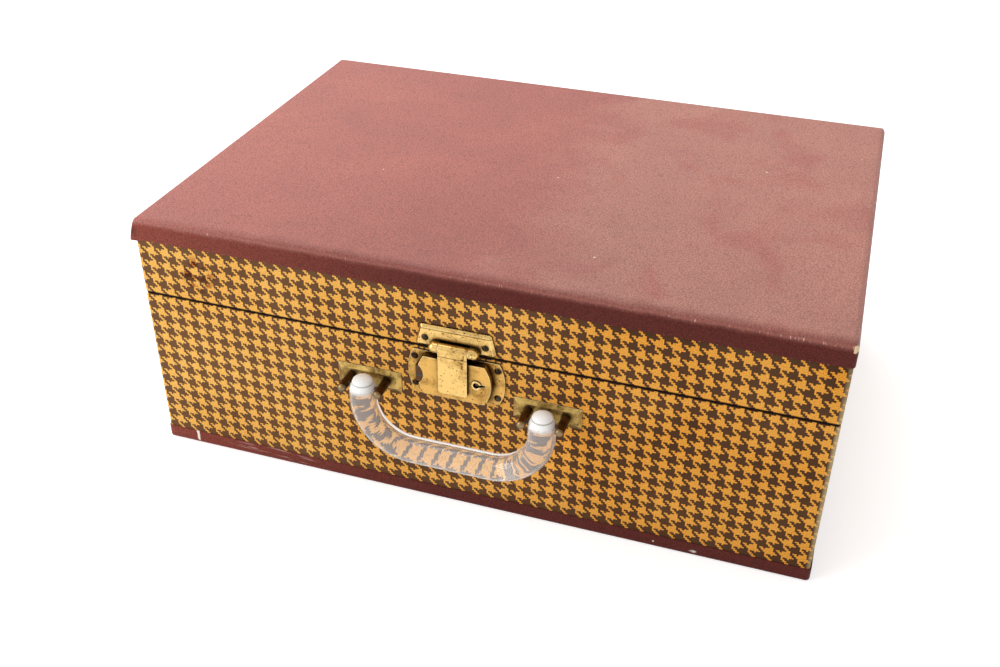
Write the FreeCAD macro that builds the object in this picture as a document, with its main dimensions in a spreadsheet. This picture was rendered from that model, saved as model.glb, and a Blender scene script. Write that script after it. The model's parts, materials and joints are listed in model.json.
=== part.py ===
import FreeCAD, Part
import math
import os
import types

import Sketcher

# A hard-sided makeup train case: a board box cut in two at a seam, covered in
# cloth on its walls and in leathercloth above and below, with a hasp lock, a
# swinging rod handle, rear hinges, slotted lid stays, a mirror and a lift-out tray.
# Frame: +Z up, the front faces -Y, the origin is the middle of the bottom face.

os.makedirs("parts", exist_ok=True)
doc = FreeCAD.newDocument("train_case")
sheet = doc.addObject("Spreadsheet::Sheet", "Sizes")

# Driving sizes in millimetres, and in degrees where the name says turn.
SIZES = {
    # The box and its coverings.
    "case_width": 360.0,
    "case_depth": 251.5,
    "case_height": 140.0,
    "lid_depth": 42.5,
    "seam_gap": 0.6,
    "corner_radius": 1.6,
    "top_edge_radius": 3.4,
    "bottom_edge_radius": 1.4,
    "wall_board": 6.0,
    "floor_board": 4.0,
    "top_board": 5.0,
    "cloth_gauge": 0.6,
    "leather_gauge": 0.7,
    "lining_gauge": 0.8,
    "rim_lining": 0.5,
    "top_band": 11.8,
    "bottom_band": 7.9,
    # Fasteners: how deep their shanks go into a board, and the room around them.
    "shank_depth": 4.5,
    "shank_radius": 0.8,
    "shank_room": 0.05,
    "running_room": 0.05,
    # The lock on the base, its middle measured from the case's middle and the seam.
    "hardware_x": -4.0,
    "lock_below_seam": 15.1,
    "lock_plate_radius": 25.7,
    "lock_plate_height": 24.6,
    "lock_plate_gauge": 1.2,
    "lock_case_radius": 19.5,
    "lock_case_height": 22.4,
    "lock_case_rise": 3.8,
    "lock_case_gauge": 0.8,
    "scallop_radius": 7.2,
    "scallop_depth": 3.2,
    "lock_rivet_x": 21.9,
    "lock_rivet_z": 8.2,
    "rivet_head": 1.9,
    "keyhole_x": 11.9,
    "keyhole_radius": 1.6,
    "keyhole_slot": 1.3,
    "keyhole_reach": 4.6,
    "eyelet_radius": 2.7,
    "eyelet_tube": 2.2,
    "eyelet_rise": 0.5,
    "key_post_radius": 0.7,
    # The hasp: a plate on the lid, a turning strap, its pin and its catch.
    "hasp_axis_height": 2.3,
    "hasp_axis_rise": 3.9,
    "knuckle_radius": 2.9,
    "hasp_pin_radius": 1.0,
    "strap_width": 15.2,
    "strap_gauge": 1.3,
    "strap_drop": 25.0,
    "strap_corner": 1.4,
    "outer_knuckle": 5.4,
    "knuckle_room": 0.2,
    "hasp_plate_top": 36.8,
    "hasp_plate_foot": 42.6,
    "hasp_plate_height": 12.0,
    "hasp_plate_gauge": 2.2,
    "hasp_plate_bevel": 1.2,
    "hasp_plate_skin": 0.7,
    "hasp_plate_lift": 0.4,
    "hasp_rivet_x": 15.7,
    "hasp_rivet_z": 5.2,
    "catch_gauge": 3.0,
    "catch_height": 7.0,
    "catch_below_axis": 19.2,
    "catch_reach": 3.9,
    "catch_lip": 0.7,
    "eye_height": 3.4,
    "catch_room": 0.5,
    # The release slide inside the lock.
    "slide_gauge": 1.2,
    "slide_back": 1.2,
    "slide_rail": 4.6,
    "slide_post": 3.2,
    "slide_finger": 2.4,
    "slide_travel": 3.2,
    "nib_width": 3.6,
    "nib_height": 9.4,
    "nib_rise": 2.9,
    "neck_height": 3.0,
    # The handle, its plates, posts and pins.
    "handle_half_span": 47.5,
    "pivot_below_seam": 26.5,
    "pivot_rise": 9.5,
    "rod_radius": 7.1,
    "rod_bend": 26.7,
    "rod_drop": 33.9,
    "rod_end": 0.4,
    "plate_width": 35.0,
    "plate_height": 11.9,
    "plate_gauge": 1.6,
    "plate_bevel": 2.2,
    "plate_edge": 0.4,
    "post_spread": 9.7,
    "post_radius": 2.3,
    "post_rise": 14.3,
    "post_tail": 1.5,
    "handle_pin_radius": 1.0,
    "handle_pin_grip": 1.3,
    # The rear hinges.
    "hinge_inset": 68.0,
    "hinge_width": 34.0,
    "hinge_leaf": 17.0,
    "hinge_gauge": 1.0,
    "hinge_barrel": 2.2,
    "hinge_axis_rise": 2.6,
    "hinge_pin_radius": 1.1,
    "hinge_knuckle_share": 12.0,
    "hinge_rivet_x": 11.0,
    # The lid stays: pivots measured from the hinge axis, forwards and up or down.
    "lid_turn": 105.0,
    "stay_gauge": 1.5,
    "stay_width": 9.6,
    "stay_washer": 1.4,
    "stay_stud_radius": 2.0,
    "stay_head_radius": 3.4,
    "stay_head_gauge": 1.3,
    "stay_room": 0.1,
    "base_pivot_forward": 27.0,
    "base_pivot_drop": 14.0,
    "lid_stud_forward": 96.0,
    "lid_stud_lift": 9.0,
    # The mirror inside the lid, set in from the case's sides.
    "mirror_end_margin": 60.0,
    "mirror_side_margin": 45.75,
    "mirror_gauge": 3.0,
    "clip_width": 14.0,
    "clip_foot": 7.0,
    "clip_lip": 5.0,
    "clip_gauge": 0.8,
    "clip_inset": 50.0,
    # The lift-out tray and the ledges that carry it.
    "tray_side_room": 6.2,
    "tray_end_room": 1.0,
    "tray_below_seam": 39.5,
    "tray_height": 36.0,
    "tray_wall": 2.6,
    "tray_corner": 4.0,
    "tray_notch": 11.0,
    "ledge_depth": 8.0,
    "ledge_height": 9.0,
    "ledge_inset": 14.0,
    "divider_gauge": 2.0,
    "divider_height": 24.0,
    "divider_y": 22.0,
}

for row, (alias, value) in enumerate(SIZES.items(), start=1):
    sheet.set(f"A{row}", alias.replace("_", " "))
    sheet.set(f"B{row}", str(value))
    sheet.setAlias(f"B{row}", alias)
doc.recompute()


class Size:
    """A length: its formula over the sheet's cells, for binding, and its value."""

    def __init__(self, formula, value):
        self.formula = formula
        self.value = value

    def joined(self, sign, other, value):
        return Size(f"({self.formula} {sign} {as_size(other).formula})", value)

    def __add__(self, other):
        return self.joined("+", other, self.value + float(other))

    def __sub__(self, other):
        return self.joined("-", other, self.value - float(other))

    def __mul__(self, other):
        return self.joined("*", other, self.value * float(other))

    def __truediv__(self, other):
        return self.joined("/", other, self.value / float(other))

    def __rsub__(self, other):
        return as_size(other) - self

    def __neg__(self):
        return as_size(0) - self

    def __float__(self):
        return float(self.value)

    __radd__ = __add__
    __rmul__ = __mul__


def as_size(number):
    """A plain number as a Size; a Size stays as it is."""
    if isinstance(number, Size):
        return number
    return Size(repr(float(number)), float(number))


s = types.SimpleNamespace(
    **{alias: Size(f"Sizes.{alias}", float(sheet.get(alias))) for alias in SIZES}
)
subparts = []

# The turn that lays a primitive's own Z axis along each direction.
TURNS = {
    "+x": FreeCAD.Rotation(FreeCAD.Vector(0, 1, 0), 90),
    "-x": FreeCAD.Rotation(FreeCAD.Vector(0, 1, 0), -90),
    "+y": FreeCAD.Rotation(FreeCAD.Vector(1, 0, 0), -90),
    "-y": FreeCAD.Rotation(FreeCAD.Vector(1, 0, 0), 90),
    "+z": FreeCAD.Rotation(),
    "-z": FreeCAD.Rotation(FreeCAD.Vector(1, 0, 0), 180),
}
DOME_LATITUDE = 30.0


def bind(item, prop, size):
    """Tie one property of an object to a formula over the sheet."""
    item.setExpression(prop, as_size(size).formula)


def place(item, at, along="+z"):
    """Stand an object at a point, its own Z axis along a direction."""
    item.Placement = FreeCAD.Placement(FreeCAD.Vector(), TURNS[along])
    for letter, value in zip("xyz", at):
        bind(item, f"Placement.Base.{letter}", value)
    return item


def moved(at, along, distance):
    """The point a distance from another, along a direction such as -y."""
    point = list(at)
    index = "xyz".index(along[1])
    step = as_size(distance)
    point[index] = point[index] + step if along[0] == "+" else point[index] - step
    return tuple(point)


def block(low, high):
    """A plain block between two corners."""
    item = doc.addObject("Part::Box", "block")
    for index, prop in enumerate(("Length", "Width", "Height")):
        bind(item, prop, high[index] - low[index])
    return place(item, low)


def rod(at, along, length, radius):
    """A round bar from a point along a direction."""
    item = doc.addObject("Part::Cylinder", "rod")
    bind(item, "Radius", radius)
    bind(item, "Height", length)
    return place(item, at, along)


def ball(at, radius):
    """A whole ball."""
    item = doc.addObject("Part::Sphere", "ball")
    bind(item, "Radius", radius)
    return place(item, at)


def dome(at, along, radius):
    """A low round head: the cap of a ball above its 30 degree parallel."""
    item = doc.addObject("Part::Sphere", "dome")
    ball_radius = radius / math.cos(math.radians(DOME_LATITUDE))
    item.Angle1 = DOME_LATITUDE
    bind(item, "Radius", ball_radius)
    sink = ball_radius * -math.sin(math.radians(DOME_LATITUDE))
    return place(item, moved(at, along, sink), along)


def joined(items, label="joined"):
    """Several solids fused into one."""
    item = doc.addObject("Part::MultiFuse", label)
    item.Shapes = items
    item.Refine = True
    return item


def shared(items, label="shared"):
    """The space that several solids have in common."""
    item = doc.addObject("Part::MultiCommon", label)
    item.Shapes = items
    item.Refine = True
    return item


def cut(base, tools, label="cut"):
    """A solid with one or more others taken out of it."""
    item = doc.addObject("Part::Cut", label)
    item.Base = base
    item.Tool = tools[0] if len(tools) == 1 else joined(tools)
    item.Refine = True
    return item


def grouped(items, label):
    """Separate like solids kept together as one named piece."""
    item = doc.addObject("Part::Compound", label)
    item.Links = items
    return item


def piece(item):
    """Record a finished sub-part; its label names its file."""
    subparts.append(item)
    return item


def origin_plane(body, role):
    """One of a body's own origin planes, found by its role."""
    return next(part for part in body.Origin.OriginFeatures if part.Role == role)


def outline(sketch, corners):
    """A closed outline of straight sides whose corners are held by the sheet."""
    count = len(corners)
    points = [FreeCAD.Vector(float(u), float(v), 0) for u, v in corners]
    for index in range(count):
        sketch.addGeometry(Part.LineSegment(points[index], points[(index + 1) % count]))
    for index in range(count):
        following = (index + 1) % count
        sketch.addConstraint(Sketcher.Constraint("Coincident", index, 2, following, 1))
    for index, corner in enumerate(corners):
        for kind, value in zip(("DistanceX", "DistanceY"), corner):
            rule = Sketcher.Constraint(kind, -1, 1, index, 1, float(value))
            bind(sketch, f"Constraints[{sketch.addConstraint(rule)}]", value)


def padded(label, role, corners, start, length):
    """A body: an outline on an origin plane, lifted to its start and padded."""
    body = doc.addObject("PartDesign::Body", label)
    sketch = body.newObject("Sketcher::SketchObject", "Profile")
    sketch.AttachmentSupport = [(origin_plane(body, role), "")]
    sketch.MapMode = "FlatFace"
    bind(sketch, "AttachmentOffset.Base.z", start)
    outline(sketch, corners)
    pad = body.newObject("PartDesign::Pad", "Thickness")
    pad.Profile = sketch
    bind(pad, "Length", length)
    doc.recompute()
    return body


def round_edges(body, radius, chosen, kind="PartDesign::Fillet", prop="Radius"):
    """Round, or bevel, the edges of a body that a test picks out."""
    tip = body.Tip
    names = [f"Edge{n}" for n, edge in enumerate(tip.Shape.Edges, 1) if chosen(edge)]
    feature = body.newObject(kind, "Edges")
    feature.Base = (tip, names)
    bind(feature, prop, radius)
    doc.recompute()
    return body


def runs_along(axis):
    """A test for straight edges that run along one axis."""

    def test(edge):
        if len(edge.Vertexes) < 2:
            return False
        step = edge.Vertexes[1].Point - edge.Vertexes[0].Point
        return abs(abs(step["xyz".index(axis)]) - step.Length) < 1e-6

    return test


def lies_at(axis, value, other=lambda edge: True):
    """A test for edges that lie in one plane across an axis."""

    def test(edge):
        box = edge.BoundBox
        low = (box.XMin, box.YMin, box.ZMin)["xyz".index(axis)]
        high = (box.XMax, box.YMax, box.ZMax)["xyz".index(axis)]
        return max(abs(low - float(value)), abs(high - float(value))) < 1e-4 and other(edge)

    return test


def rectangle(half_x, half_y):
    """The corners of a rectangle centred on the origin."""
    return [(-half_x, -half_y), (half_x, -half_y), (half_x, half_y), (-half_x, half_y)]


def rounded_prism(label, half_x, half_y, low, high, radius):
    """An upright block centred on the origin, its four upright edges rounded."""
    body = padded(label, "XY_Plane", rectangle(half_x, half_y), low, high - low)
    return round_edges(body, radius, runs_along("z"))


# Levels and faces that the pieces share.
half_width = s.case_width / 2
half_depth = s.case_depth / 2
wood_x = half_width - s.cloth_gauge
wood_y = half_depth - s.cloth_gauge
room_x = wood_x - s.wall_board
room_y = wood_y - s.wall_board
lined_x = room_x - s.lining_gauge
lined_y = room_y - s.lining_gauge
wood_corner = s.corner_radius - s.cloth_gauge
seam_z = s.case_height - s.lid_depth
base_rim = seam_z - s.seam_gap / 2
lid_rim = seam_z + s.seam_gap / 2
base_wood_top = base_rim - s.rim_lining
lid_wood_low = lid_rim + s.rim_lining
floor_low = s.leather_gauge
floor_top = floor_low + s.floor_board
roof_top = s.case_height - s.leather_gauge
roof_low = roof_top - s.top_board
lid_lined_top = roof_low - s.lining_gauge

# Holes that fasteners need, kept for each piece that they pass through.
holes = {}


def drill(names, at, along, length, radius):
    """Note a round hole to be cut through the named pieces."""
    for name in names:
        holes.setdefault(name, []).append((at, along, length, radius))


def drilled(item, label):
    """A piece with its noted holes cut out."""
    return cut(item, [rod(*hole) for hole in holes[label]], label)


def front(distance):
    """The Y of a plane a distance in front of the cloth on the front wall."""
    return -(half_depth + distance)


def rear(distance):
    """The Y of a plane a distance behind the cloth on the back wall."""
    return half_depth + distance


def rivet(at, along, through, head, holders):
    """A domed rivet seated at a point; its shank goes back through its holders."""
    inward = ("-" if along[0] == "+" else "+") + along[1]
    shank = through + s.cloth_gauge + s.shank_depth
    drill(holders, at, inward, shank, s.shank_radius + s.shank_room)
    return joined([dome(at, along, head), rod(at, inward, shank, s.shank_radius)], "rivet")


# The lock's back plate: a disc trimmed level above and below.
lock_x = s.hardware_x
lock_z = seam_z - s.lock_below_seam


def trimmed_disc(radius, height, near, rise):
    """A disc on the lock's axis between two planes, cut level above and below."""
    disc = rod((lock_x, front(near), lock_z), "-y", rise, radius)
    low = (lock_x - radius, front(near + rise), lock_z - height / 2)
    high = (lock_x + radius, front(near), lock_z + height / 2)
    return shared([disc, block(low, high)])


lock_plate_face = s.lock_plate_gauge
lock_face = s.lock_plate_gauge + s.lock_case_rise
lock_rivets = []
for side in (-1, 1):
    for level in (-1, 1):
        seat = (
            lock_x + s.lock_rivet_x * side,
            front(lock_plate_face),
            lock_z + s.lock_rivet_z * level,
        )
        holders = ("lock_back_plate", "base_cloth", "base_front_board")
        lock_rivets.append(rivet(seat, "-y", s.lock_plate_gauge, s.rivet_head, holders))
piece(grouped(lock_rivets, "lock_rivets"))

plate_blank = trimmed_disc(s.lock_plate_radius, s.lock_plate_height, 0, s.lock_plate_gauge)
piece(drilled(plate_blank, "lock_back_plate"))

# The hasp's turning axis and what hangs from it, needed to shape the lock.
hasp_axis_z = seam_z + s.hasp_axis_height
strap_face = s.hasp_axis_rise + s.knuckle_radius
strap_back = strap_face - s.strap_gauge
strap_low = hasp_axis_z - s.strap_drop
catch_low = hasp_axis_z - s.catch_below_axis
catch_high = catch_low + s.catch_height
catch_tip = strap_back - s.catch_reach
catch_half = s.catch_gauge / 2
lock_low = lock_z - s.lock_case_height / 2
lock_high = lock_z + s.lock_case_height / 2
scallop_x = lock_x - s.lock_case_radius + s.scallop_depth - s.scallop_radius
keyhole_x = lock_x + s.keyhole_x


def lock_form(inset, near, rise):
    """The lock case's body, or its hollow when inset: a trimmed disc with a scalloped end."""
    disc = trimmed_disc(s.lock_case_radius - inset, s.lock_case_height - inset * 2, near, rise)
    scallop = rod((scallop_x, front(near), lock_z), "-y", rise, s.scallop_radius + inset)
    return cut(disc, [scallop])


# The slide's outline, worked out from the catch that it locks.
slide_near = s.lock_plate_gauge + s.slide_back
slide_far = slide_near + s.slide_gauge
eye_low = catch_low + (s.catch_height - s.eye_height) / 2
finger_low = eye_low + (s.eye_height - s.slide_finger) / 2
finger_high = finger_low + s.slide_finger
finger_tip = lock_x + catch_half + s.catch_room
post_left = finger_tip + s.slide_travel
post_right = post_left + s.slide_post
rail_high = catch_low - s.catch_room
rail_low = rail_high - s.slide_rail
neck_low = lock_z - s.neck_height / 2
neck_high = lock_z + s.neck_height / 2
scallop_edge = lock_x - s.lock_case_radius + s.scallop_depth
wall_inside = scallop_edge + s.lock_case_gauge
heel_left = wall_inside + s.slide_travel + s.catch_room
heel_right = lock_x - catch_half - s.catch_room
nib_right = scallop_edge - s.catch_room
nib_left = nib_right - s.nib_width
talon_low = lock_z - s.keyhole_slot
talon_high = lock_z + s.keyhole_slot

slide_plate = padded(
    "slide_plate",
    "XZ_Plane",
    [
        (nib_right - s.nib_width / 2, neck_low),
        (heel_left, neck_low),
        (heel_left, rail_low),
        (post_right, rail_low),
        (post_right, talon_low),
        (post_right - s.slide_post / 3, talon_low),
        (post_right - s.slide_post / 3, talon_high),
        (post_right, talon_high),
        (post_right, finger_high),
        (finger_tip, finger_high),
        (finger_tip, finger_low),
        (post_left, finger_low),
        (post_left, rail_high),
        (heel_right, rail_high),
        (heel_right, neck_high),
        (nib_right - s.nib_width / 2, neck_high),
    ],
    half_depth + slide_near,
    s.slide_gauge,
)
# The thumb nib follows the scallop: a disc of the scallop's size trimmed to a lens.
nib_near = s.lock_plate_gauge + s.catch_room / 2
nib = shared(
    [
        rod((scallop_x - s.catch_room, front(nib_near), lock_z), "-y", s.nib_rise, s.scallop_radius),
        block(
            (nib_left, front(nib_near + s.nib_rise), lock_z - s.nib_height / 2),
            (nib_right, front(nib_near), lock_z + s.nib_height / 2),
        ),
    ]
)
piece(joined([slide_plate, nib], "release_slide"))

# The lock case: a pressed shell, open at the back, with a channel for the catch,
# a window for the slide's neck and a keyhole.
channel = block(
    (lock_x - catch_half - s.catch_room, front(lock_face), catch_low - s.catch_room),
    (lock_x + catch_half + s.catch_room, front(lock_plate_face), lock_high),
)
window = block(
    (scallop_edge - s.lock_case_gauge, front(slide_far + s.catch_room), neck_low - s.catch_room),
    (wall_inside + s.lock_case_gauge, front(lock_plate_face), neck_high + s.catch_room),
)
eyelet_hole = rod(
    (keyhole_x, front(lock_plate_face), lock_z), "-y", s.lock_case_rise, s.eyelet_tube + s.shank_room
)


def key_slot(near, rise):
    """The flat part of the keyhole, running to the right of its round part."""
    low = (keyhole_x, front(near + rise), lock_z - s.keyhole_slot / 2)
    high = (keyhole_x + s.keyhole_reach, front(near), lock_z + s.keyhole_slot / 2)
    return block(low, high)


shell = cut(
    lock_form(as_size(0), lock_plate_face, s.lock_case_rise),
    [lock_form(s.lock_case_gauge, lock_plate_face, s.lock_case_rise - s.lock_case_gauge)],
)
piece(
    cut(
        shell,
        [channel, window, eyelet_hole, key_slot(lock_plate_face, s.lock_case_rise)],
        "lock_case",
    )
)

# The keyhole's eyelet: a rim on the face and a tube through it, round a keyhole.
eyelet = joined(
    [
        rod((keyhole_x, front(lock_face), lock_z), "-y", s.eyelet_rise, s.eyelet_radius),
        rod((keyhole_x, front(lock_face), lock_z), "+y", s.lock_case_gauge, s.eyelet_tube),
    ]
)
eyelet_depth = s.lock_case_gauge + s.eyelet_rise
eyelet_near = lock_face - s.lock_case_gauge
keyhole = rod((keyhole_x, front(eyelet_near), lock_z), "-y", eyelet_depth, s.keyhole_radius)
piece(cut(eyelet, [keyhole, key_slot(eyelet_near, eyelet_depth)], "keyhole_eyelet"))

# The post that the key's hollow stem turns on.
post_length = s.lock_case_rise - s.lock_case_gauge / 2
piece(
    joined(
        [
            rod((keyhole_x, front(lock_plate_face), lock_z), "-y", post_length, s.key_post_radius),
            rod((keyhole_x, front(lock_plate_face), lock_z), "-y", s.lock_case_gauge, s.keyhole_radius),
        ],
        "key_post",
    )
)

# The hasp plate on the lid: a tapered plate, bevelled above, with two domed
# knuckles and a bay between them where the strap's own knuckle turns.
hasp_foot = lid_rim + s.hasp_plate_lift
hasp_head = hasp_foot + s.hasp_plate_height
strap_half = s.strap_width / 2
plate_blank = padded(
    "hasp_plate_blank",
    "XZ_Plane",
    [
        (lock_x - s.hasp_plate_foot / 2, hasp_foot),
        (lock_x + s.hasp_plate_foot / 2, hasp_foot),
        (lock_x + s.hasp_plate_top / 2, hasp_head),
        (lock_x - s.hasp_plate_top / 2, hasp_head),
    ],
    half_depth,
    s.hasp_plate_gauge,
)
round_edges(plate_blank, s.strap_corner, runs_along("y"))
round_edges(
    plate_blank,
    s.hasp_plate_bevel,
    lies_at("y", front(s.hasp_plate_gauge), lies_at("z", hasp_head)),
    "PartDesign::Chamfer",
    "Size",
)
knuckles = []
for side, along in ((-1, "-x"), (1, "+x")):
    start = (
        lock_x + (strap_half + s.knuckle_room) * side,
        front(s.hasp_axis_rise),
        hasp_axis_z,
    )
    straight = s.outer_knuckle - s.knuckle_radius
    knuckles.append(rod(start, along, straight, s.knuckle_radius))
    knuckles.append(ball(moved(start, along, straight), s.knuckle_radius))
bay = block(
    (lock_x - strap_half - s.knuckle_room, front(s.hasp_plate_gauge), hasp_foot),
    (
        lock_x + strap_half + s.knuckle_room,
        front(s.hasp_plate_skin),
        hasp_axis_z + s.knuckle_radius + s.catch_room,
    ),
)
pin_half = strap_half + s.knuckle_room + s.outer_knuckle - s.knuckle_radius
pin_start = (lock_x - pin_half, front(s.hasp_axis_rise), hasp_axis_z)
pin_hole = rod(pin_start, "+x", pin_half * 2, s.hasp_pin_radius + s.running_room)
# The strap's knuckle turns between the two domed ones, so nothing stands there.
turning_room = block(
    (lock_x - strap_half - s.knuckle_room, front(strap_face), hasp_foot - s.knuckle_radius * 2),
    (
        lock_x + strap_half + s.knuckle_room,
        front(s.hasp_plate_gauge),
        hasp_axis_z + s.knuckle_radius * 2,
    ),
)
hasp_rivets = []
for side in (-1, 1):
    seat = (
        lock_x + s.hasp_rivet_x * side,
        front(s.hasp_plate_gauge),
        hasp_foot + s.hasp_rivet_z,
    )
    holders = ("hasp_plate", "lid_cloth", "lid_front_board")
    hasp_rivets.append(rivet(seat, "-y", s.hasp_plate_gauge, s.rivet_head, holders))
piece(grouped(hasp_rivets, "hasp_plate_rivets"))
knuckled = cut(joined([plate_blank] + knuckles), [bay, turning_room, pin_hole])
piece(drilled(knuckled, "hasp_plate"))
hasp_pin = rod(pin_start, "+x", pin_half * 2, s.hasp_pin_radius)
hasp_pin.Label = "hasp_pin"
piece(hasp_pin)

# The hasp strap: a knuckle rolled on a flat strap with rounded lower corners.
strap_blank = padded(
    "strap_blank",
    "XZ_Plane",
    [
        (lock_x - strap_half, strap_low),
        (lock_x + strap_half, strap_low),
        (lock_x + strap_half, hasp_axis_z),
        (lock_x - strap_half, hasp_axis_z),
    ],
    half_depth + strap_back,
    s.strap_gauge,
)
round_edges(
    strap_blank,
    s.strap_corner,
    lambda edge: runs_along("y")(edge) and edge.BoundBox.ZMax < float(strap_low) + 1e-3,
)
strap_start = (lock_x - strap_half, front(s.hasp_axis_rise), hasp_axis_z)
strap_knuckle = rod(strap_start, "+x", s.strap_width, s.knuckle_radius)
strap_hole = rod(strap_start, "+x", s.strap_width, s.hasp_pin_radius + s.running_room)
piece(cut(joined([strap_blank, strap_knuckle]), [strap_hole], "hasp_strap"))

# The catch behind the strap, with the eye that the slide's finger enters.
catch_blank = block(
    (lock_x - catch_half, front(strap_back), catch_low),
    (lock_x + catch_half, front(catch_tip), catch_high),
)
eye = block(
    (lock_x - catch_half, front(lock_face), eye_low),
    (lock_x + catch_half, front(catch_tip + s.catch_lip), eye_low + s.eye_height),
)
piece(cut(catch_blank, [eye], "hasp_catch"))

# The handle's two plates, their posts and their pins.
posts = []
pins = []
pivot_y = front(s.pivot_rise)
pivot_z = seam_z - s.pivot_below_seam
for side, name in ((-1, "left"), (1, "right")):
    plate_x = lock_x + s.handle_half_span * side
    label = f"handle_plate_{name}"
    blank = padded(
        f"{label}_blank",
        "XZ_Plane",
        [
            (plate_x - s.plate_width / 2, pivot_z - s.plate_height / 2),
            (plate_x + s.plate_width / 2, pivot_z - s.plate_height / 2),
            (plate_x + s.plate_width / 2, pivot_z + s.plate_height / 2),
            (plate_x - s.plate_width / 2, pivot_z + s.plate_height / 2),
        ],
        half_depth,
        s.plate_gauge,
    )
    bevel = round_edges(
        blank,
        s.plate_gauge - s.plate_edge,
        lies_at("y", front(s.plate_gauge)),
        "PartDesign::Chamfer",
        "Size",
    ).Tip
    bevel.ChamferType = "Two distances"
    bind(bevel, "Size2", s.plate_bevel)
    for offset, inward in ((-1, "+x"), (1, "-x")):
        post_x = plate_x + s.post_spread * offset
        foot = (post_x, front(s.plate_gauge), pivot_z)
        straight = s.post_rise - s.plate_gauge
        tail = s.plate_gauge + s.cloth_gauge + s.shank_depth
        holders = (label, "base_cloth", "base_front_board")
        drill(holders, foot, "+y", tail, s.post_tail + s.shank_room)
        post = joined(
            [
                rod(foot, "-y", straight, s.post_radius),
                dome(moved(foot, "-y", straight), "-y", s.post_radius),
                rod(foot, "+y", tail, s.post_tail),
            ]
        )
        bore_start = (post_x + s.handle_pin_grip * offset, pivot_y, pivot_z)
        bore = rod(bore_start, inward, s.post_spread, s.handle_pin_radius + s.running_room)
        posts.append(cut(post, [bore], "handle_post"))
    pin_reach = s.post_spread + s.handle_pin_grip
    pin_from = (plate_x - pin_reach, pivot_y, pivot_z)
    pins.append(rod(pin_from, "+x", pin_reach * 2, s.handle_pin_radius))
    piece(drilled(blank, label))
piece(grouped(posts, "handle_posts"))
piece(grouped(pins, "handle_pins"))

# The handle: a round rod bent to a bail, with domed ends bored for the pins.
grip_z = pivot_z - s.rod_drop
bend_z = grip_z + s.rod_bend
bends = []
for side, turn in ((-1, 180.0), (1, 270.0)):
    leg_x = lock_x + s.handle_half_span * side
    top = (leg_x, pivot_y, pivot_z + s.rod_end)
    bends.append(rod(top, "-z", s.rod_drop - s.rod_bend + s.rod_end, s.rod_radius))
    bends.append(ball(top, s.rod_radius))
    bend = doc.addObject("Part::Torus", "bend")
    bind(bend, "Radius1", s.rod_bend)
    bind(bend, "Radius2", s.rod_radius)
    bend.Angle3 = 90.0
    place(bend, (leg_x - s.rod_bend * side, pivot_y, bend_z))
    quarter = FreeCAD.Rotation(FreeCAD.Vector(0, 0, 1), turn)
    upright = FreeCAD.Rotation(FreeCAD.Vector(1, 0, 0), 90)
    bend.Placement = FreeCAD.Placement(bend.Placement.Base, upright * quarter)
    bends.append(bend)
grip_from = (lock_x - s.handle_half_span + s.rod_bend, pivot_y, grip_z)
bends.append(rod(grip_from, "+x", (s.handle_half_span - s.rod_bend) * 2, s.rod_radius))
pivot_bores = []
for side in (-1, 1):
    bore_from = (
        lock_x + s.handle_half_span * side - s.rod_radius * 1.5,
        pivot_y,
        pivot_z,
    )
    bore_radius = s.handle_pin_radius + s.running_room
    pivot_bores.append(rod(bore_from, "+x", s.rod_radius * 3, bore_radius))
piece(cut(joined(bends), pivot_bores, "handle_grip"))

# The rear hinges: two leaves, with two knuckles below and one above, on a pin.
hinge_y = rear(s.hinge_axis_rise)
hinge_z = seam_z
leaf_start = s.hinge_barrel + s.knuckle_room * 2
hinge_pins = []
hinge_rivets = {"base": [], "lid": []}
for side, name in ((-1, "left"), (1, "right")):
    mid_x = (half_width - s.hinge_inset) * side
    left_x = mid_x - s.hinge_width / 2
    share = s.hinge_knuckle_share
    pin_from = (left_x, hinge_y, hinge_z)
    hinge_pins.append(rod(pin_from, "+x", s.hinge_width, s.hinge_pin_radius))
    bore_radius = s.hinge_pin_radius + s.running_room
    centre_width = s.hinge_width - share * 2 - s.knuckle_room * 2
    runs = {
        "base": ((left_x, share), (left_x + s.hinge_width - share, share)),
        "lid": ((left_x + share + s.knuckle_room, centre_width),),
    }
    for body_name, up in (("base", -1), ("lid", 1)):
        label = f"{body_name}_hinge_leaf_{name}"
        near_z = hinge_z + leaf_start * up
        far_z = hinge_z + (leaf_start + s.hinge_leaf) * up
        low_z, high_z = (far_z, near_z) if up < 0 else (near_z, far_z)
        solids = [
            block(
                (left_x, rear(0), low_z),
                (left_x + s.hinge_width, rear(s.hinge_gauge), high_z),
            )
        ]
        for run_x, run in runs[body_name]:
            tongue_low, tongue_high = (near_z, hinge_z) if up < 0 else (hinge_z, near_z)
            solids.append(
                block(
                    (run_x, rear(0), tongue_low),
                    (run_x + run, rear(s.hinge_gauge), tongue_high),
                )
            )
            solids.append(rod((run_x, hinge_y, hinge_z), "+x", run, s.hinge_barrel))
        pin_bore = rod(pin_from, "+x", s.hinge_width, bore_radius)
        board = "base_back_board" if body_name == "base" else "lid_back_board"
        holders = (label, f"{body_name}_cloth", board)
        for offset in (-1, 1):
            seat = (
                mid_x + s.hinge_rivet_x * offset,
                rear(s.hinge_gauge),
                hinge_z + (leaf_start + s.hinge_leaf / 2) * up,
            )
            new = rivet(seat, "+y", s.hinge_gauge, s.rivet_head, holders)
            hinge_rivets[body_name].append(new)
        piece(drilled(cut(joined(solids), [pin_bore]), label))
piece(grouped(hinge_pins, "hinge_pins"))
piece(grouped(hinge_rivets["base"], "base_hinge_rivets"))
piece(grouped(hinge_rivets["lid"], "lid_hinge_rivets"))

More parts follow.
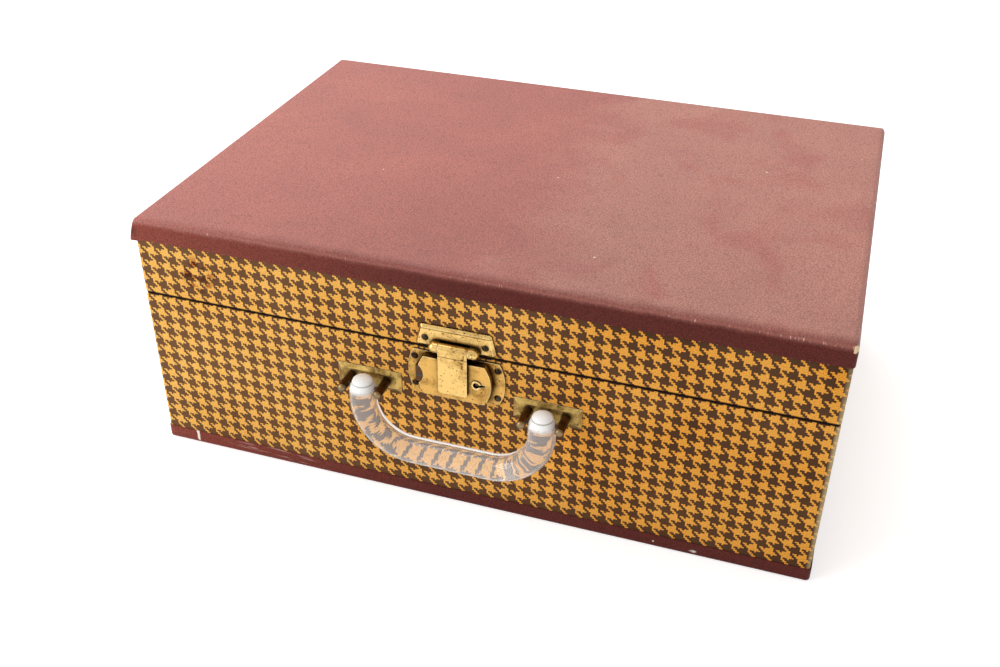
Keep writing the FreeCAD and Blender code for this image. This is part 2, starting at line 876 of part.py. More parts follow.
# The lid stays. Arm and lid turn together about pivots a fixed way apart, so the
# lid's stud runs round an arc in the arm whose radius is the distance from the
# hinge axis to the arm's own pivot.
pivot_point = (hinge_y - s.base_pivot_forward, hinge_z - s.base_pivot_drop)
stud_point = (hinge_y - s.lid_stud_forward, hinge_z + s.lid_stud_lift)
arm_far = lined_x - s.stay_washer - s.stay_room
arm_near = arm_far - s.stay_gauge


def turned(y, z, degrees):
    """A step turned the way that the closing lid turns."""
    c = math.cos(math.radians(degrees))
    d = math.sin(math.radians(degrees))
    return y * c - z * d, y * d + z * c


def stay_shape(inner_x):
    """One arm: a bar from its pivot to the arc, the arc's band, and the slot cut in it."""
    pivot = [float(value) for value in pivot_point]
    reach = (float(s.base_pivot_forward), float(s.base_pivot_drop))
    arc_y = pivot[0] - float(s.lid_stud_forward)
    arc_z = pivot[1] + float(s.lid_stud_lift)
    turn = float(s.lid_turn)
    radius = math.hypot(*reach)
    gauge = FreeCAD.Vector(float(s.stay_gauge), 0, 0)

    def on_arc(degrees, distance):
        y, z = turned(*reach, degrees)
        share = distance / radius
        return FreeCAD.Vector(inner_x, arc_y + y * share, arc_z + z * share)

    def band(half):
        """The band of the arc, a half width to each side, with round ends."""
        outer, inner = radius + half, radius - half
        edges = [
            Part.Arc(on_arc(0, outer), on_arc(turn / 2, outer), on_arc(turn, outer)),
            Part.Arc(on_arc(turn, outer), cap_point(turn, half), on_arc(turn, inner)),
            Part.Arc(on_arc(turn, inner), on_arc(turn / 2, inner), on_arc(0, inner)),
            Part.Arc(on_arc(0, inner), cap_point(0, -half), on_arc(0, outer)),
        ]
        return Part.Face(Part.Wire([edge.toShape() for edge in edges])).extrude(gauge)

    def cap_point(degrees, half):
        """The far point of a round end, a half width past the arc's end along it."""
        y, z = turned(*reach, degrees)
        return FreeCAD.Vector(
            inner_x,
            arc_y + y - z * half / radius,
            arc_z + z + y * half / radius,
        )

    def disc(y, z, size):
        centre = FreeCAD.Vector(inner_x, y, z)
        return Part.makeCylinder(size, gauge.x, centre, FreeCAD.Vector(1, 0, 0))

    half = float(s.stay_width) / 2
    start = on_arc(0, radius)
    run_y, run_z = start.y - pivot[0], start.z - pivot[1]
    run = math.hypot(run_y, run_z)
    off_y, off_z = -run_z * half / run, run_y * half / run
    corners = [
        FreeCAD.Vector(inner_x, pivot[0] + off_y, pivot[1] + off_z),
        FreeCAD.Vector(inner_x, start.y + off_y, start.z + off_z),
        FreeCAD.Vector(inner_x, start.y - off_y, start.z - off_z),
        FreeCAD.Vector(inner_x, pivot[0] - off_y, pivot[1] - off_z),
    ]
    bar = Part.Face(Part.makePolygon(corners + corners[:1])).extrude(gauge)
    room = float(s.stay_stud_radius + s.running_room)
    arm = bar.fuse([disc(*pivot, half), band(half)])
    return arm.cut([disc(*pivot, room), band(room)]).removeSplitter()


stay_pivots = []
stay_studs = []
for side, name in ((-1, "left"), (1, "right")):
    arm = doc.addObject("Part::Feature", f"stay_arm_{name}")
    arm_x = float(arm_near) if side > 0 else -float(arm_far)
    arm.Shape = stay_shape(arm_x)
    piece(arm)
    outward = "+x" if side > 0 else "-x"
    for group, point, body_name in (
        (stay_pivots, pivot_point, "base"),
        (stay_studs, stud_point, "lid"),
    ):
        seat = (lined_x * side, point[0], point[1])
        inward = "-x" if side > 0 else "+x"
        shank = s.lining_gauge + s.shank_depth
        board = f"{body_name}_{name}_board"
        drill((board, f"{body_name}_lining"), seat, outward, shank, s.post_tail + s.shank_room)
        neck = s.stay_washer + s.stay_gauge + s.stay_room * 2
        group.append(
            joined(
                [
                    rod(seat, outward, shank, s.post_tail),
                    rod(seat, inward, s.stay_washer, s.stay_head_radius),
                    rod(seat, inward, neck, s.stay_stud_radius),
                    dome(moved(seat, inward, neck), inward, s.stay_head_radius),
                ],
                "stay_rivet",
            )
        )
piece(grouped(stay_pivots, "stay_pivot_rivets"))
piece(grouped(stay_studs, "stay_stud_rivets"))


# Carcass boards: front and back run the full width, the ends stand between them.
def wall_boards(name, low, high):
    """Four boards of one half of the box, drilled for what is fastened to them."""
    for label, sign in ((f"{name}_front_board", -1), (f"{name}_back_board", 1)):
        corners = [
            (-wood_x, wood_y * sign),
            (wood_x, wood_y * sign),
            (wood_x, room_y * sign),
            (-wood_x, room_y * sign),
        ]
        blank = padded(f"{label}_blank", "XY_Plane", corners, low, high - low)
        round_edges(
            blank,
            wood_corner,
            lambda edge: runs_along("z")(edge)
            and abs(edge.Vertexes[0].Y - float(wood_y) * sign) < 1e-6,
        )
        piece(drilled(blank, label))
    for label, sign in ((f"{name}_left_board", -1), (f"{name}_right_board", 1)):
        low_x, high_x = (-wood_x, -room_x) if sign < 0 else (room_x, wood_x)
        blank = block((low_x, -room_y, low), (high_x, room_y, high))
        piece(drilled(blank, label))


wall_boards("base", floor_top, base_wood_top)
wall_boards("lid", lid_wood_low, roof_low)

floor_panel = rounded_prism("base_floor_panel", wood_x, wood_y, floor_low, floor_top, wood_corner)
floor_edge = s.bottom_edge_radius - s.leather_gauge - s.cloth_gauge
piece(round_edges(floor_panel, floor_edge, lies_at("z", floor_low)))
top_panel = rounded_prism("lid_top_panel", wood_x, wood_y, roof_low, roof_top, wood_corner)
roof_edge = s.top_edge_radius - s.leather_gauge - s.cloth_gauge
piece(round_edges(top_panel, roof_edge, lies_at("z", roof_top)))


# The cloth round the walls of each half, tucked under the leathercloth bands.
def cloth(label, low, high):
    """A thin sleeve round four walls."""
    outer = rounded_prism(f"{label}_outside", half_width, half_depth, low, high, s.corner_radius)
    inner = rounded_prism(f"{label}_inside", wood_x, wood_y, low, high, wood_corner)
    piece(drilled(cut(outer, [inner]), label))


cloth("base_cloth", s.bottom_edge_radius, base_rim)
cloth("lid_cloth", lid_rim, s.case_height - s.top_edge_radius)


# Leathercloth over the top and under the bottom, turned over the walls' edges.
def cover(label, low, high, flat, edge):
    """A shallow lid of leathercloth, its flat side at one level, its edge rounded."""
    wide = half_width + s.leather_gauge
    deep = half_depth + s.leather_gauge
    outer = rounded_prism(
        f"{label}_outside", wide, deep, low, high, s.corner_radius + s.leather_gauge
    )
    round_edges(outer, edge, lies_at("z", flat))
    if float(flat) == float(low):
        inner_low, inner_high, inner_flat = low + s.leather_gauge, high, low + s.leather_gauge
    else:
        inner_low, inner_high, inner_flat = low, high - s.leather_gauge, high - s.leather_gauge
    inner = rounded_prism(
        f"{label}_inside", half_width, half_depth, inner_low, inner_high, s.corner_radius
    )
    round_edges(inner, edge - s.leather_gauge, lies_at("z", inner_flat))
    piece(cut(outer, [inner], label))


bottom = as_size(0)
cover("base_leathercloth", bottom, s.bottom_band, bottom, s.bottom_edge_radius)
cover(
    "lid_leathercloth",
    s.case_height - s.top_band,
    s.case_height,
    s.case_height,
    s.top_edge_radius,
)


# Lining: a thin box inside each half, with a flange that hides the boards' rim.
def lining(label, low, high, hollow_low, hollow_high, rim_low, rim_high):
    """A lined box between two levels, its hollow open at the rim."""
    box = block((-room_x, -room_y, low), (room_x, room_y, high))
    flange = rounded_prism(f"{label}_flange", wood_x, wood_y, rim_low, rim_high, wood_corner)
    hollow = block((-lined_x, -lined_y, hollow_low), (lined_x, lined_y, hollow_high))
    piece(drilled(cut(joined([box, flange]), [hollow]), label))


lined_floor = floor_top + s.lining_gauge
lining("base_lining", floor_top, base_rim, lined_floor, base_rim, base_wood_top, base_rim)
lining("lid_lining", lid_rim, roof_low, lid_rim, lid_lined_top, lid_rim, lid_wood_low)

# The mirror under the lid, held by bent clips at its front and back edges.
mirror_low = lid_lined_top - s.mirror_gauge
mirror_x = half_width - s.mirror_end_margin
mirror_y = half_depth - s.mirror_side_margin
mirror = padded("mirror", "XY_Plane", rectangle(mirror_x, mirror_y), mirror_low, s.mirror_gauge)
piece(
    round_edges(
        mirror,
        s.clip_gauge,
        lies_at("z", mirror_low),
        "PartDesign::Chamfer",
        "Size",
    )
)
clips = []
for sign in (-1, 1):
    for side in (-1, 1):
        clip_x = (mirror_x - s.clip_inset) * side - s.clip_width / 2
        clip_low = mirror_low - s.clip_gauge
        profile = [
            (mirror_y * sign, lid_lined_top),
            ((mirror_y + s.clip_foot) * sign, lid_lined_top),
            ((mirror_y + s.clip_foot) * sign, lid_lined_top - s.clip_gauge),
            ((mirror_y + s.clip_gauge) * sign, lid_lined_top - s.clip_gauge),
            ((mirror_y + s.clip_gauge) * sign, clip_low),
            ((mirror_y - s.clip_lip) * sign, clip_low),
            ((mirror_y - s.clip_lip) * sign, mirror_low),
            (mirror_y * sign, mirror_low),
        ]
        clips.append(padded("mirror_clip", "YZ_Plane", profile, clip_x, s.clip_width))
piece(grouped(clips, "mirror_clips"))

# Ledges along the front and back walls carry the tray.
tray_low = seam_z - s.tray_below_seam
for label, sign in (("tray_ledge_front", -1), ("tray_ledge_back", 1)):
    wall, step = lined_y, lined_y - s.ledge_depth
    low_y, high_y = (-wall, -step) if sign < 0 else (step, wall)
    ledge = block(
        (-(lined_x - s.ledge_inset), low_y, tray_low - s.ledge_height),
        (lined_x - s.ledge_inset, high_y, tray_low),
    )
    ledge.Label = label
    piece(ledge)

# The tray: an open box with finger notches in its ends, and dividers.
tray_x = lined_x - s.tray_side_room
tray_y = lined_y - s.tray_end_room
tray_high = tray_low + s.tray_height
well_low = tray_low + s.tray_wall
tray_outside = rounded_prism("tray_outside", tray_x, tray_y, tray_low, tray_high, s.tray_corner)
well_x = tray_x - s.tray_wall
well_y = tray_y - s.tray_wall
tray_well = block((-well_x, -well_y, well_low), (well_x, well_y, tray_high))
notches = rod((-tray_x, as_size(0), tray_high), "+x", tray_x * 2, s.tray_notch)
piece(cut(tray_outside, [tray_well, notches], "tray_box"))

divider_high = well_low + s.divider_height
long_low = s.divider_y - s.divider_gauge / 2
long_high = s.divider_y + s.divider_gauge / 2
long_divider = block((-well_x, long_low, well_low), (well_x, long_high, divider_high))
long_divider.Label = "tray_long_divider"
piece(long_divider)
cross = []
for side in (-1, 1):
    mid_x = well_x / 3 * side
    cross.append(
        block(
            (mid_x - s.divider_gauge / 2, -well_y, well_low),
            (mid_x + s.divider_gauge / 2, long_low, divider_high),
        )
    )
cross.append(
    block(
        (-(s.divider_gauge / 2), long_high, well_low),
        (s.divider_gauge / 2, well_y, divider_high),
    )
)
piece(grouped(cross, "tray_cross_dividers"))

# Check everything, then write one file for each sub-part.
doc.recompute()
for item in doc.Objects:
    if "Invalid" in item.State or "Error" in item.State:
        raise RuntimeError(f"{item.Name} ({item.Label}) failed: {item.State}")
for item in subparts:
    shape = item.Shape
    if shape.isNull() or not shape.isValid() or not shape.Solids:
        raise RuntimeError(f"{item.Label} has no valid solid")
for item in subparts:
    item.Shape.exportStep(f"parts/{item.Label}.step")
    print(f"{item.Label}: {len(item.Shape.Solids)} solids, {item.Shape.Volume:.1f} mm3")
print(f"{len(subparts)} sub-parts")
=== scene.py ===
# %% [markdown]
# # A makeup train case
# The case is a shallow box of thin boards, cut in two at a seam. Printed
# houndstooth cloth covers the walls, and a maroon leathercloth covers the top
# and bottom and is turned down over the walls' edges. A hasp lock, a clear rod
# handle and two rear hinges are riveted on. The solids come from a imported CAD
# model, and this script gives them their looks.

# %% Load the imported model
import json
import math

import bmesh
import bpy
import numpy as np
from mathutils import Matrix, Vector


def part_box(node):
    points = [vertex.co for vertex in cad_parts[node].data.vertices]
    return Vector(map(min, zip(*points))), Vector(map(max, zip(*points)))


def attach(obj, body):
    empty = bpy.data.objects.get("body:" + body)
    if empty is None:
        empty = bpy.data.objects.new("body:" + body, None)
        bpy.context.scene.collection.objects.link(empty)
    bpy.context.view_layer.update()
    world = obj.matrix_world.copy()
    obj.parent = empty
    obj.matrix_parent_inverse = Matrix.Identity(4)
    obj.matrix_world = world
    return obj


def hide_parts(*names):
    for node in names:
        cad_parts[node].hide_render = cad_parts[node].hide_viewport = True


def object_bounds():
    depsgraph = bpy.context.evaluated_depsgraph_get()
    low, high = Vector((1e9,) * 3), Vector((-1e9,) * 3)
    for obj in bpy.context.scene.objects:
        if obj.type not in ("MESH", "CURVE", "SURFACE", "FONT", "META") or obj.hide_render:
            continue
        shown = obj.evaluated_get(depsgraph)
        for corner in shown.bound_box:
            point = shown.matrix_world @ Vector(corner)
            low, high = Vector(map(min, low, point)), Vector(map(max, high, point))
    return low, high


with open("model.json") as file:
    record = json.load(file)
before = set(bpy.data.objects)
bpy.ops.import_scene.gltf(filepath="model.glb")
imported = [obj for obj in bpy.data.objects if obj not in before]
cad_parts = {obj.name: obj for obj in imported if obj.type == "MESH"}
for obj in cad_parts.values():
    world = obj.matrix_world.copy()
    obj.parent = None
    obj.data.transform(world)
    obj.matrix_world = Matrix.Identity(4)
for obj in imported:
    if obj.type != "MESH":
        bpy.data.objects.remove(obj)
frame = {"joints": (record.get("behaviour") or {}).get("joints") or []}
cad_low, cad_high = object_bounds()
MM = 0.001
print("CAD box in mm:", [round(v / MM, 1) for v in (*cad_low, *cad_high)])

# %% [markdown]
# ## Helpers
# Every new piece is a grid of points: rows run along a profile, columns run
# round a path. One function turns such a grid into a mesh. Its place is in its
# points, so the object itself stays at the origin, as the CAD pieces do.

# %% Grid to mesh
SMOOTH_LIMIT = math.radians(38)
MERGE_WITHIN = 0.001 * MM


def grid_faces(rows, columns):
    """The four corners of each face of a grid whose points are numbered row by row."""
    index = np.arange(rows * columns).reshape(rows, columns)
    corners = [index[:-1, :-1], index[:-1, 1:], index[1:, 1:], index[1:, :-1]]
    return np.stack(corners, axis=-1).reshape(-1, 4)


def grid_piece(name, points, body, uv=None, stands_for=()):
    """A piece from points[row, column]: each four neighbours make one face.

    Rows or columns that repeat the first one at the end close the surface,
    because doubled points are merged. uv[row, column] is kept per face corner.
    """
    faces = grid_faces(*points.shape[:2])
    mesh = bpy.data.meshes.new(name)
    mesh.from_pydata(points.reshape(-1, 3).tolist(), [], faces.tolist())
    if uv is not None:
        layer = mesh.uv_layers.new(name="surface_mm")
        layer.data.foreach_set("uv", uv.reshape(-1, 2)[faces.ravel()].ravel().astype(np.float32))
    work = bmesh.new()
    work.from_mesh(mesh)
    bmesh.ops.remove_doubles(work, verts=work.verts, dist=MERGE_WITHIN)
    bmesh.ops.recalc_face_normals(work, faces=work.faces)
    work.to_mesh(mesh)
    work.free()
    mesh.shade_smooth()
    mesh.set_sharp_from_angle(angle=SMOOTH_LIMIT)
    piece = bpy.data.objects.new(name, mesh)
    bpy.context.scene.collection.objects.link(piece)
    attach(piece, body)
    if stands_for:
        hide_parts(*stands_for)
    print(name, "has", len(mesh.polygons), "faces")
    return piece


print("edges sharper than", round(math.degrees(SMOOTH_LIMIT)), "degrees stay sharp")

# %% [markdown]
# Cloth, leathercloth and lining all go round the same box, so they share one
# way round it. A rounded rectangle is a plain one, drawn in by the corner
# radius, plus that radius along the outward normal. The path starts behind, in
# the middle, where its join is least seen, and passes the front left to right.

# %% The way round the box
LONG_STEPS, SHORT_STEPS, CORNER_STEPS = 72, 52, 8


def way_round():
    """Two arrays along the path: a corner-to-corner position in -1..1, and the outward normal."""
    turns = np.linspace(0, math.pi / 2, CORNER_STEPS, endpoint=False)
    half = np.linspace(0, -1, LONG_STEPS // 2, endpoint=False)
    down = np.linspace(1, -1, SHORT_STEPS, endpoint=False)
    across = np.linspace(-1, 1, LONG_STEPS, endpoint=False)
    home = np.linspace(1, 0, LONG_STEPS // 2 + 1)
    core, angle = [], []
    for along, fixed, axis, start in (
        (half, 1, 0, 90),
        (down, -1, 1, 180),
        (across, -1, 0, 270),
        (-down, 1, 1, 360),
        (home, 1, 0, 450),
    ):
        pair = np.full((len(along), 2), float(fixed))
        pair[:, axis] = along
        core.append(pair)
        angle.append(np.full(len(along), math.radians(start)))
        if start < 450:
            end = {90: (-1, 1), 180: (-1, -1), 270: (1, -1), 360: (1, 1)}[start]
            core.append(np.tile(np.array(end, float), (CORNER_STEPS, 1)))
            angle.append(math.radians(start) + turns)
    angle = np.concatenate(angle)
    return np.concatenate(core), np.stack([np.cos(angle), np.sin(angle)], axis=-1)


CORE, OUTWARD = way_round()


def wrapped(half_x, half_y, corner, profile):
    """Carries a profile of (inset, height) rows round the box.

    A row's ring is the rounded rectangle drawn in by its inset, whose corner
    radius is what is left of the corner after that inset.
    """
    inset, height = np.array(profile, float).T[:, :, None, None]
    radius = np.maximum(corner - inset, 0)
    half = np.array([half_x, half_y])[None, None, :] - inset - radius
    flat = CORE[None] * half + OUTWARD[None] * radius
    rise = np.broadcast_to(height, flat.shape[:2] + (1,))
    return np.concatenate([flat, rise], axis=-1)


print("the way round has", len(CORE), "points")

# %% [markdown]
# Two more helpers serve the finishes: one turns an sRGB hex colour, as a colour
# picker shows it, into the linear values that a shader needs, and one adds a
# node with its settings and links. A node's inputs are given by name or by
# number. A Map Range reads the range from 1 to 2 and gives the range from 3 to 4.
# A Mix node takes two numbers at 2 and 3, or two colours at 6 and 7, whose mix is
# then its output 2.

# %% Colour and node helpers
MIX_A, MIX_B = 6, 7
COLOURS = {"out": 2, "data_type": "RGBA"}
TINT = {**COLOURS, "blend_type": "MULTIPLY"}
SMOOTH = {"interpolation_type": "SMOOTHSTEP"}


def srgb(code):
    """A hex colour as linear red, green, blue and alpha."""
    part = np.array([int(code[i : i + 2], 16) for i in (1, 3, 5)]) / 255
    linear = np.where(part <= 0.04045, part / 12.92, ((part + 0.055) / 1.055) ** 2.4)
    return (*linear.tolist(), 1.0)


def add(tree, kind, inputs, out=0, **settings):
    """Adds one node, sets or links its inputs by name or number, and gives an output."""
    made = tree.nodes.new("ShaderNode" + kind)
    for key, value in settings.items():
        setattr(made, key, value)
    for key, value in inputs.items():
        if isinstance(value, bpy.types.NodeSocket):
            tree.links.new(value, made.inputs[key])
        else:
            made.inputs[key].default_value = value
    return made.outputs[out]


def finish(name):
    """A new material: its node tree, its shader, and the place of each point in metres."""
    material = bpy.data.materials.new(name)
    material.use_nodes = True
    tree = material.node_tree
    place = add(tree, "TexCoord", {}, out="Object")
    return material, tree, tree.nodes["Principled BSDF"], place


def dress(material, *names):
    """Gives CAD pieces, or new ones, a material in their first slot."""
    for name in names:
        slots = bpy.data.objects[name].data.materials
        slots.clear()
        slots.append(material)


print("half grey #808080 is", round(srgb("#808080")[0], 3), "in linear light")

# %% [markdown]
# ## Houndstooth cloth on the walls
# The walls are covered in a stiff printed cloth. Houndstooth comes from a 2/2
# twill: four dark and four light threads alternate both ways, and each thread
# passes over two and under two. A picture of the cloth could be wrapped round the
# box, but the loom's own rule stays sharp from any distance. So it is drawn thread
# by thread, from the distance round the box and the height, both in millimetres.

# %% Cloth sleeves
CLOTH = 0.6 * MM
RIM_TURN = 1.3 * MM
WALL_CORNER = 1.6 * MM
WALL_ROWS, TURN_ROWS = 12, 6
base_low, base_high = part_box("base_cloth")
lid_low, lid_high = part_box("lid_cloth")
HALF_X, HALF_Y = base_high.x, base_high.y
# The lid's cloth hangs a little past its boards and hides the joint between them.
OVERHANG = 1.25 * MM
SEAM_GAP = 0.3 * MM
SEAM = (base_high.z + lid_low.z) / 2 - OVERHANG


def sleeve(name, body, node, rim, far, cut_mm):
    """A closed sleeve round the walls whose rim at the seam is turned over, a quarter ellipse.

    Its map is the distance round the box and the height in mm, moved by cut_mm,
    the place where this sleeve was cut from the cloth.
    """
    sign = 1 if rim < far else -1
    outer = [(0.0, z) for z in np.linspace(far, rim + sign * RIM_TURN, WALL_ROWS)]
    turned = [(CLOTH - CLOTH * math.cos(a), rim + sign * RIM_TURN * (1 - math.sin(a)))
              for a in np.radians(np.linspace(15, 90, TURN_ROWS))]
    inner = [(CLOTH, far), (0.0, far)]
    points = wrapped(HALF_X, HALF_Y, WALL_CORNER, outer + turned + inner)
    ring = points[0]
    step = np.linalg.norm(np.diff(ring, axis=0), axis=1)
    run = np.concatenate([[0], np.cumsum(step)])
    run = run - run[-1] / 2
    uv = np.stack(np.broadcast_arrays(run[None] / MM, points[:, :, 2] / MM), axis=-1) + cut_mm
    return grid_piece(name, points, body, uv, (node,))


base_rim = base_high.z - OVERHANG - SEAM_GAP
sleeve("base_houndstooth", "base", "base_cloth", base_rim, base_low.z, (0.4, 0.25))
sleeve("lid_houndstooth", "lid", "lid_cloth", lid_low.z - OVERHANG, lid_high.z, (0.0, 2.75))

# %% [markdown]
# The finish is printed cotton, matt and a little rough. The noise that bends the
# threads keeps the print from being ruled, a second one lets dark ink fleck the
# gold, and a third fades both inks in patches.

# %% Houndstooth weave
THREADS_MM = (1.01, 0.996)
TWILL, STRIPES = 4.0, 8.0
WOBBLES_PER_MM, WOBBLE_MM = 0.9, 0.55
# The dark ink has spread past its own threads by this share of a thread.
INK_SPREAD = 0.08
cloth, tree, shader, place = finish("printed_houndstooth_cloth")
uv = add(tree, "UVMap", {}, uv_map="surface_mm")
wobble = add(tree, "TexNoise", {"Vector": uv, "Scale": WOBBLES_PER_MM, "Detail": 2.0}, out="Color")
wobble = add(tree, "VectorMath", {0: wobble, 1: (0.5, 0.5, 0.5)}, operation="SUBTRACT")
wobble = add(tree, "VectorMath", {0: wobble, "Scale": WOBBLE_MM}, operation="SCALE")
thread = add(tree, "VectorMath", {0: uv, 1: wobble}, operation="ADD")
thread = add(tree, "VectorMath", {0: thread, 1: (*THREADS_MM, 1)}, operation="DIVIDE")
dark = 0.0
for shift in ((INK_SPREAD, 0, 0), (-INK_SPREAD, 0, 0), (0, INK_SPREAD, 0), (0, -INK_SPREAD, 0)):
    count = add(tree, "VectorMath", {0: thread, 1: shift}, operation="ADD")
    count = add(tree, "VectorMath", {0: count}, operation="FLOOR")
    warp = add(tree, "SeparateXYZ", {0: count}, "X")
    weft = add(tree, "SeparateXYZ", {0: count}, "Y")
    over = add(tree, "Math", {0: warp, 1: weft}, operation="ADD")
    over = add(tree, "Math", {0: over, 1: TWILL / 2}, operation="ADD")
    over = add(tree, "Math", {0: over, 1: TWILL}, operation="FLOORED_MODULO")
    over = add(tree, "Math", {0: over, 1: TWILL / 2 - 0.5}, operation="LESS_THAN")
    shown = add(tree, "Mix", {0: over, 2: weft, 3: warp})
    shown = add(tree, "Math", {0: shown, 1: STRIPES}, operation="FLOORED_MODULO")
    shown = add(tree, "Math", {0: shown, 1: STRIPES / 2 - 0.5}, operation="LESS_THAN")
    dark = add(tree, "Math", {0: dark, 1: shown}, operation="MAXIMUM")
print("houndstooth repeats every", STRIPES * THREADS_MM[0], "mm")

# %% Houndstooth ink
FADE_MM, FLECKS_PER_MM = 40.0, 2.2
RUB_FROM, RUB_TO = 2.4 * MM, 0.5 * MM
across = add(tree, "SeparateXYZ", {0: place}, "X")
deep = add(tree, "SeparateXYZ", {0: place}, "Y")
# The ink fades in patches and is painted lighter towards the left end, as light from the left; dark ink
# flecks the gold at the size of the fibres.
fade = add(tree, "TexNoise", {"Vector": place, "Scale": 1 / (FADE_MM * MM), "Detail": 3.0})
fleck = add(tree, "TexNoise", {"Vector": uv, "Scale": FLECKS_PER_MM, "Detail": 3.0, "Roughness": 0.7})
fade_and_left_light = add(tree, "MapRange", {0: across, 1: HALF_X / 2, 2: -HALF_X, 3: -0.25, 4: 0.5})
fade_and_left_light = add(tree, "Math", {0: fade, 1: fade_and_left_light}, operation="ADD")
gold = add(tree, "Mix", {0: fade_and_left_light, MIX_A: srgb("#EE9F38"), MIX_B: srgb("#FFC364")}, **COLOURS)
brown = add(tree, "Mix", {0: fade_and_left_light, MIX_A: srgb("#4C3222"), MIX_B: srgb("#76543A")}, **COLOURS)
spread = add(tree, "MapRange", {0: fleck, 1: 0.48, 2: 0.38, 3: 0.0, 4: 0.55})
dark = add(tree, "Math", {0: dark, 1: spread}, operation="MAXIMUM")
ink = add(tree, "Mix", {0: dark, MIX_A: gold, MIX_B: brown}, **COLOURS)
grit = add(tree, "MapRange", {0: fleck, 1: 0.3, 2: 0.7, 3: 0.72, 4: 1.14})
ink = add(tree, "Mix", {0: 1.0, MIX_A: ink, MIX_B: grit}, **TINT)
# At the front right corner the ink is rubbed off.
side = add(tree, "MapRange", {0: across, 1: HALF_X - RUB_FROM, 2: HALF_X - RUB_TO})
edge = add(tree, "MapRange", {0: deep, 1: -HALF_Y + RUB_FROM, 2: -HALF_Y + RUB_TO})
bare = add(tree, "Math", {0: side, 1: edge}, operation="MULTIPLY")
bare = add(tree, "Math", {0: bare, 1: fade}, operation="MULTIPLY")
ink = add(tree, "Mix", {0: bare, MIX_A: ink, MIX_B: srgb("#F6DCA4")}, **COLOURS)
print("the ink is faded in patches of", FADE_MM, "mm")

# %% Houndstooth seam shade, stain and threads
SEAM_SHADE_LINE = SEAM + 0.45 * MM
SEAM_SHADE_FROM, SEAM_SHADE_TO, SEAM_SHADE_RAGGED = 0.45 * MM, 0.05 * MM, 1.0 * MM
STAIN_PLACE = (-146 * MM, -HALF_Y, 112 * MM)
STAIN_FROM, STAIN_TO, STAIN_RAGGED = 5 * MM, -1 * MM, 16 * MM
BLOT_MM = 5.0
# Painted shade lies under the lid's rim, and there is one old stain by the left end.
up = add(tree, "SeparateXYZ", {0: place}, "Z")
gap = add(tree, "Math", {0: up, 1: SEAM_SHADE_LINE}, operation="SUBTRACT")
gap = add(tree, "Math", {0: gap}, operation="ABSOLUTE")
gap = add(tree, "Math", {0: fleck, 1: -SEAM_SHADE_RAGGED, 2: gap}, operation="MULTIPLY_ADD")
seam_shade = add(tree, "MapRange", {0: gap, 1: SEAM_SHADE_FROM, 2: SEAM_SHADE_TO, 3: 0.0, 4: 0.95})
stain = add(tree, "VectorMath", {0: place, 1: STAIN_PLACE}, out="Value", operation="DISTANCE")
stain = add(tree, "Math", {0: fade, 1: -STAIN_RAGGED, 2: stain}, operation="MULTIPLY_ADD")
stain = add(tree, "MapRange", {0: stain, 1: STAIN_FROM, 2: STAIN_TO, 3: 0.0, 4: 0.75})
blot = add(tree, "TexNoise", {"Vector": place, "Scale": 1 / (BLOT_MM * MM), "Detail": 3.0})
blot = add(tree, "MapRange", {0: blot, 1: 0.48, 2: 0.6})
stain = add(tree, "Math", {0: stain, 1: blot}, operation="MULTIPLY")
ink = add(tree, "Mix", {0: stain, MIX_A: ink, MIX_B: srgb("#94452C")}, **TINT)
ink = add(tree, "Mix", {0: seam_shade, MIX_A: ink, MIX_B: srgb("#1C100A")}, **COLOURS)
tree.links.new(ink, shader.inputs["Base Color"])
shader.inputs["Roughness"].default_value = 0.85
shader.inputs["Specular IOR Level"].default_value = 0.04
# Each thread is a low round ridge, so the light breaks up at the thread's own width.
ridge = add(tree, "VectorMath", {0: thread, "Scale": 2 * math.pi}, operation="SCALE")
ridge = add(tree, "VectorMath", {0: ridge}, operation="COSINE")
ridge = add(tree, "VectorMath", {0: ridge, 1: (0.5, 0.5, 0.0)}, out="Value", operation="DOT_PRODUCT")
height = add(tree, "Math", {0: fleck, 1: 0.8, 2: ridge}, operation="MULTIPLY_ADD")
bump = add(tree, "Bump", {"Strength": 0.35, "Distance": 0.06 * MM, "Height": height})
tree.links.new(bump, shader.inputs["Normal"])
dress(cloth, "base_houndstooth", "lid_houndstooth")
print("made", cloth.name)

# %% [markdown]
# ## Leathercloth above and below
# Leathercloth is coated cotton, embossed with a pebble grain. It is pasted over
# the board, rolled over the edges and cut off in a band. Each cover is a profile
# carried round the box: from the middle of the flat side, over the roll and down
# the band, round the cut edge and back inside. Slow waves keep the band from
# being a ruler's line, and the front left corner keeps its lifted fold.

# %% Leathercloth covers
LEATHER = 0.7 * MM
TOP_ROLL, BOTTOM_ROLL = 3.4 * MM, 1.4 * MM
WADDING, WADDED_DEPTH = 0.5 * MM, 4 * MM
CUT_WAVE = 0.25 * MM
FOLD_REACH, FOLD_OUT, FOLD_DOWN = 3.5 * MM, 3.4 * MM, 1.4 * MM
FOLD_BACK, FOLD_LENGTH, FOLD_TOP, FOLD_DROP = 2 * MM, 1.6, 2 * MM, 9 * MM
FLAT_INSETS = np.array([8, 13, 20, 30, 42, 56, 72, 90, 108]) * MM


def cover_profile(flat, cut, roll, half_y):
    """Rows from the middle of the flat side, over the roll, to the cut edge and back inside."""
    sign = 1 if flat > cut else -1
    middle = [(half_y, flat)] + [(inset, flat) for inset in FLAT_INSETS[::-1]]
    rolled = [(roll * (1 - math.sin(a)), flat - sign * roll * (1 - math.cos(a)))
              for a in np.radians(np.linspace(0, 90, 9))]
    band = [(0.0, z) for z in np.linspace(rolled[-1][1], cut + sign * LEATHER / 2, 6)[1:]]
    edge = [(LEATHER / 2 - LEATHER / 2 * math.cos(a), cut + sign * LEATHER / 2 * (1 - math.sin(a)))
            for a in np.radians((45, 90, 135, 180))]
    under = flat - sign * LEATHER
    inside = [(LEATHER, flat - sign * roll), (roll, under), (half_y, under)]
    return middle + rolled + band + edge + inside


